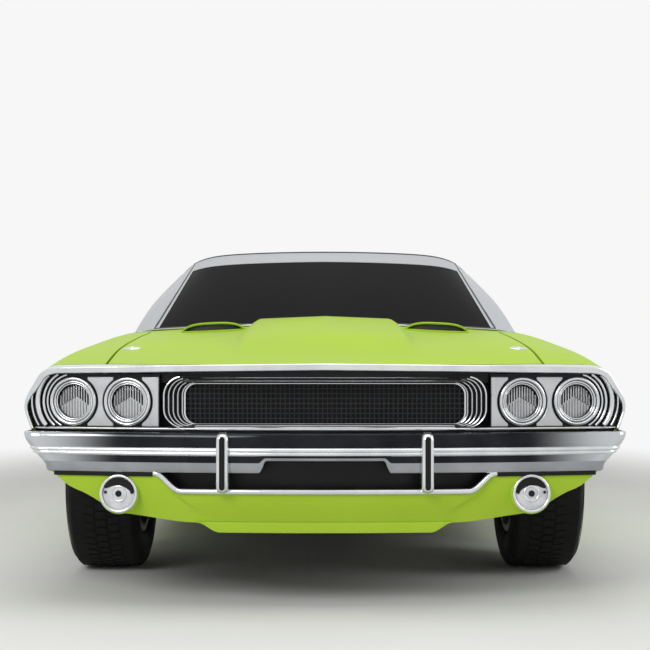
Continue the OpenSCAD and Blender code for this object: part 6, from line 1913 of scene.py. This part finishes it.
DOOR_PARTS = (("door_trim_", door_trim(), "black_leather"), ("armrest_", armrest(), "black_leather"),
              ("door_crank_", door_crank(), "chrome"), ("door_handle_", door_handle(), "chrome"))
for side in ("left", "right"):
    for name, part, finish_name in DOOR_PARTS:
        made = part if side == "left" else mirrored(part)
        if finish_name == "black_leather":
            piece(name + side, made, finish_name, "door_" + side, sharp=80)
        else:
            piece(name + side, made, finish_name, "door_" + side)

# Trim along the sides and the tail

MARKER_LENGTH, MARKER_H, MARKER_CORNER, MARKER_HALF = 0.130, 0.030, 0.010, 0.0155
MARKER_RIM = ((0.007, -0.001), (0.007, 0.002), (0.004, 0.0036), (0.0, 0.002), (0.0, -0.001))
LOCK = [(0, -0.002), (0.014, -0.002), (0.014, 0.004), (0.010, 0.007), (0, 0.0075)]
EXHAUST_TIP = [(0.0256, 0.0), (0.0305, 0.0), (0.0315, 0.085), (0.0300, 0.090), (0.0262, 0.088)]


def drip_rail():
    y = np.linspace(at_y(0.472), at_y(0.626), 41)
    return tube(xyz(RAIL_X + 0.0015, y, roof_z(RAIL_X, y) - 0.004), 0.0050)


def side_marker(y, z):
    """Bright rim and lens of an oblong lamp let into the body side."""
    rim = []
    for grow, out in MARKER_RIM:
        flat = rounded(MARKER_LENGTH + 2 * grow, MARKER_H + 2 * grow, MARKER_CORNER + grow) + [y, z]
        rim.append(xyz(side_x(flat[:, 1], flat[:, 0]) + out, flat[:, 0], flat[:, 1]))
    v, u = np.meshgrid(np.linspace(-MARKER_HALF, MARKER_HALF, 7),
                       np.linspace(-MARKER_LENGTH / 2, MARKER_LENGTH / 2, 25), indexing="ij")
    face = xyz(side_x(z + v, y + u) + 0.0022, y + u, z + v)
    return loft(rim, closed=True), shell(face, face - [0.006, 0, 0])


front_rim, front_marker = side_marker(-2.010, 0.530)
back_rim, back_marker = side_marker(2.060, 0.560)
piece("marker_rims", both(joined(front_rim, back_rim)), "chrome", sharp=60)
piece("front_markers", both(front_marker), "amber_lens")
piece("back_markers", both(back_marker), "red_lens")
piece("drip_rails", both(drip_rail()), "chrome")

band = rounded(1.440, 0.130, 0.030) + [0, 0.600]
band_line = tube(np.insert(band, 1, TAIL_Y + 0.003, 1), 0.0042, closed=True)
lock = placed(dome(LOCK, 32), (0, TAIL_Y, 0.715), *FACING_BACK)
tip = placed(revolved(EXHAUST_TIP, 40), (0.300, 2.286, 0.190), *FACING_BACK)
piece("tail_band", prism(band, TAIL_Y - 0.001, TAIL_Y + 0.003, 1), "black_trim")
piece("tail_line", joined(band_line, lock), "chrome")
piece("exhaust_tips", both(tip), "chrome")

# Bright lid of the air cleaner, with its wing nut

AIR_LID = [(0, 0.0), (0.176, 0.0), (0.180, 0.006), (0.172, 0.014), (0.120, 0.018), (0.050, 0.020),
           (0.020, 0.020), (0.012, 0.026), (0, 0.027)]
engine_top = max(v.co.z for v in nodes["engine"].data.vertices)
wing_nut = joined(cylinder(0.010, 0.024, 0.034, 24), block((-0.028, -0.003, 0.026), (0.028, 0.003, 0.042)))
air_lid = moved(joined(dome(AIR_LID, 72), wing_nut), 0, FRONT_AXLE_Y, engine_top - 0.001)
piece("air_cleaner_lid", air_lid, "chrome", bevel=0.001)

# Solids that keep their own shape

KEPT = {
    "black_paint": ("floor_pan", "engine_bay", "chassis_rails", "trunk_floor", "wheelhouses", "rear_axle",
                    "front_suspension"),
    "bare_steel": ("exhaust", "fuel_tank", "knuckle_left", "knuckle_right"),
    "cast_iron": ("engine",),
    "lime_paint": ("body_pillars", "firewall"),
    "black_trim": ("dashboard", "steering_wheel")}
for finish_name, names in KEPT.items():
    for name in names:
        materials = nodes[name].data.materials
        materials.clear()
        materials.append(FINISHES[finish_name][1])

# Floor, light and camera

BACKDROP, SKY_POWER = 0.93, 0.42
FLOOR_HALF, FADE_START, FADE_END = 40.0, 1.7, 3.6


def make_world():
    """Pale backdrop where the camera, gloss or glass looks at it, and weaker white light on the car."""
    world = bpy.data.worlds.new("studio")
    bpy.context.scene.world = world
    world.use_nodes = True
    tree = world.node_tree
    lit = tree.nodes["Background"]
    lit.inputs["Color"].default_value = (1.0, 1.0, 1.0, 1.0)
    lit.inputs["Strength"].default_value = SKY_POWER
    seen = node(tree, "ShaderNodeBackground", Color=(BACKDROP, BACKDROP, BACKDROP, 1.0), Strength=1.0)
    path = tree.nodes.new("ShaderNodeLightPath").outputs
    looked_at = worked(tree, "MAXIMUM", path["Is Camera Ray"], path["Is Glossy Ray"])
    looked_at = worked(tree, "MAXIMUM", looked_at, path["Is Transmission Ray"])
    pick = tree.nodes.new("ShaderNodeMixShader")
    for socket, value in zip(pick.inputs, (looked_at, lit.outputs[0], seen.outputs[0])):
        feed(tree, socket, value)
    feed(tree, tree.nodes["World Output"].inputs["Surface"], pick.outputs[0])


def make_floor():
    """Pale floor that fades out round the car."""
    corners = [(x * FLOOR_HALF, y * FLOOR_HALF, 0) for x, y in ((-1, -1), (1, -1), (1, 1), (-1, 1))]
    mesh = raw_mesh("floor", (corners, [(0, 1, 2, 3)]))
    material, tree, shader, place = start("pale_floor")
    patch = use(tree, MOTTLE, place, Scale=0.7)
    feed(tree, shader.inputs["Base Color"], mixed(tree, patch, tone("E6E6E4"), tone("EAEAE8")))
    feed(tree, shader.inputs["Roughness"], spread(tree, patch, 0.8, 0.9))
    shader.inputs["Specular IOR Level"].default_value = 0.1
    oval = node(tree, "ShaderNodeMapping", Vector=place, Scale=(0.90, 0.55, 1.0))
    far = node(tree, "ShaderNodeVectorMath", {"operation": "LENGTH"})
    feed(tree, far.inputs[0], oval.outputs["Vector"])
    fade = node(tree, "ShaderNodeMapRange", {"interpolation_type": "SMOOTHSTEP"}, Value=far.outputs["Value"],
                From_Min=FADE_START, From_Max=FADE_END, To_Min=1.0, To_Max=0.0)
    feed(tree, shader.inputs["Alpha"], fade.outputs["Result"])
    mesh.materials.append(material)
    linked("floor", mesh)


def softbox(name, place, target, size, power):
    data = bpy.data.lights.new(name, "AREA")
    data.shape = "RECTANGLE"
    data.size, data.size_y = size
    data.energy = power
    light = linked(name, data)
    light.location = place
    x, y, z = np.subtract(target, place)
    light.rotation_euler = (math.atan2(math.hypot(x, y), -z), 0, math.atan2(y, x) - math.pi / 2)


make_world()
make_floor()
softbox("overhead", (0, -1.2, 4.6), (0, -0.6, 0), (3.4, 6.0), 75)
softbox("front", (-2.6, -6.4, 3.6), (0, -2.0, 0.6), (3.0, 2.0), 150)
softbox("side", (4.6, -3.0, 2.8), (0, -0.6, 0.6), (2.0, 3.0), 65)

# The view is straight on, with the horizon a little below the middle of the frame.
CAMERA_AHEAD, CAMERA_Z = 3.852, 0.7877
FOCAL_PX, FRAME_PX, HORIZON_PX = 1283.46, 650.0, 354.54
camera_data = bpy.data.cameras.new("camera")
camera_data.sensor_width = 36.0
camera_data.lens = FOCAL_PX / FRAME_PX * camera_data.sensor_width
camera_data.shift_y = (HORIZON_PX - FRAME_PX / 2) / FRAME_PX
camera = linked("camera", camera_data)
camera.location = (0, FRONT - CAMERA_AHEAD, CAMERA_Z)
camera.rotation_euler = (math.pi / 2, 0, 0)
bpy.context.scene.camera = camera
bpy.context.scene.view_settings.view_transform = "Standard"
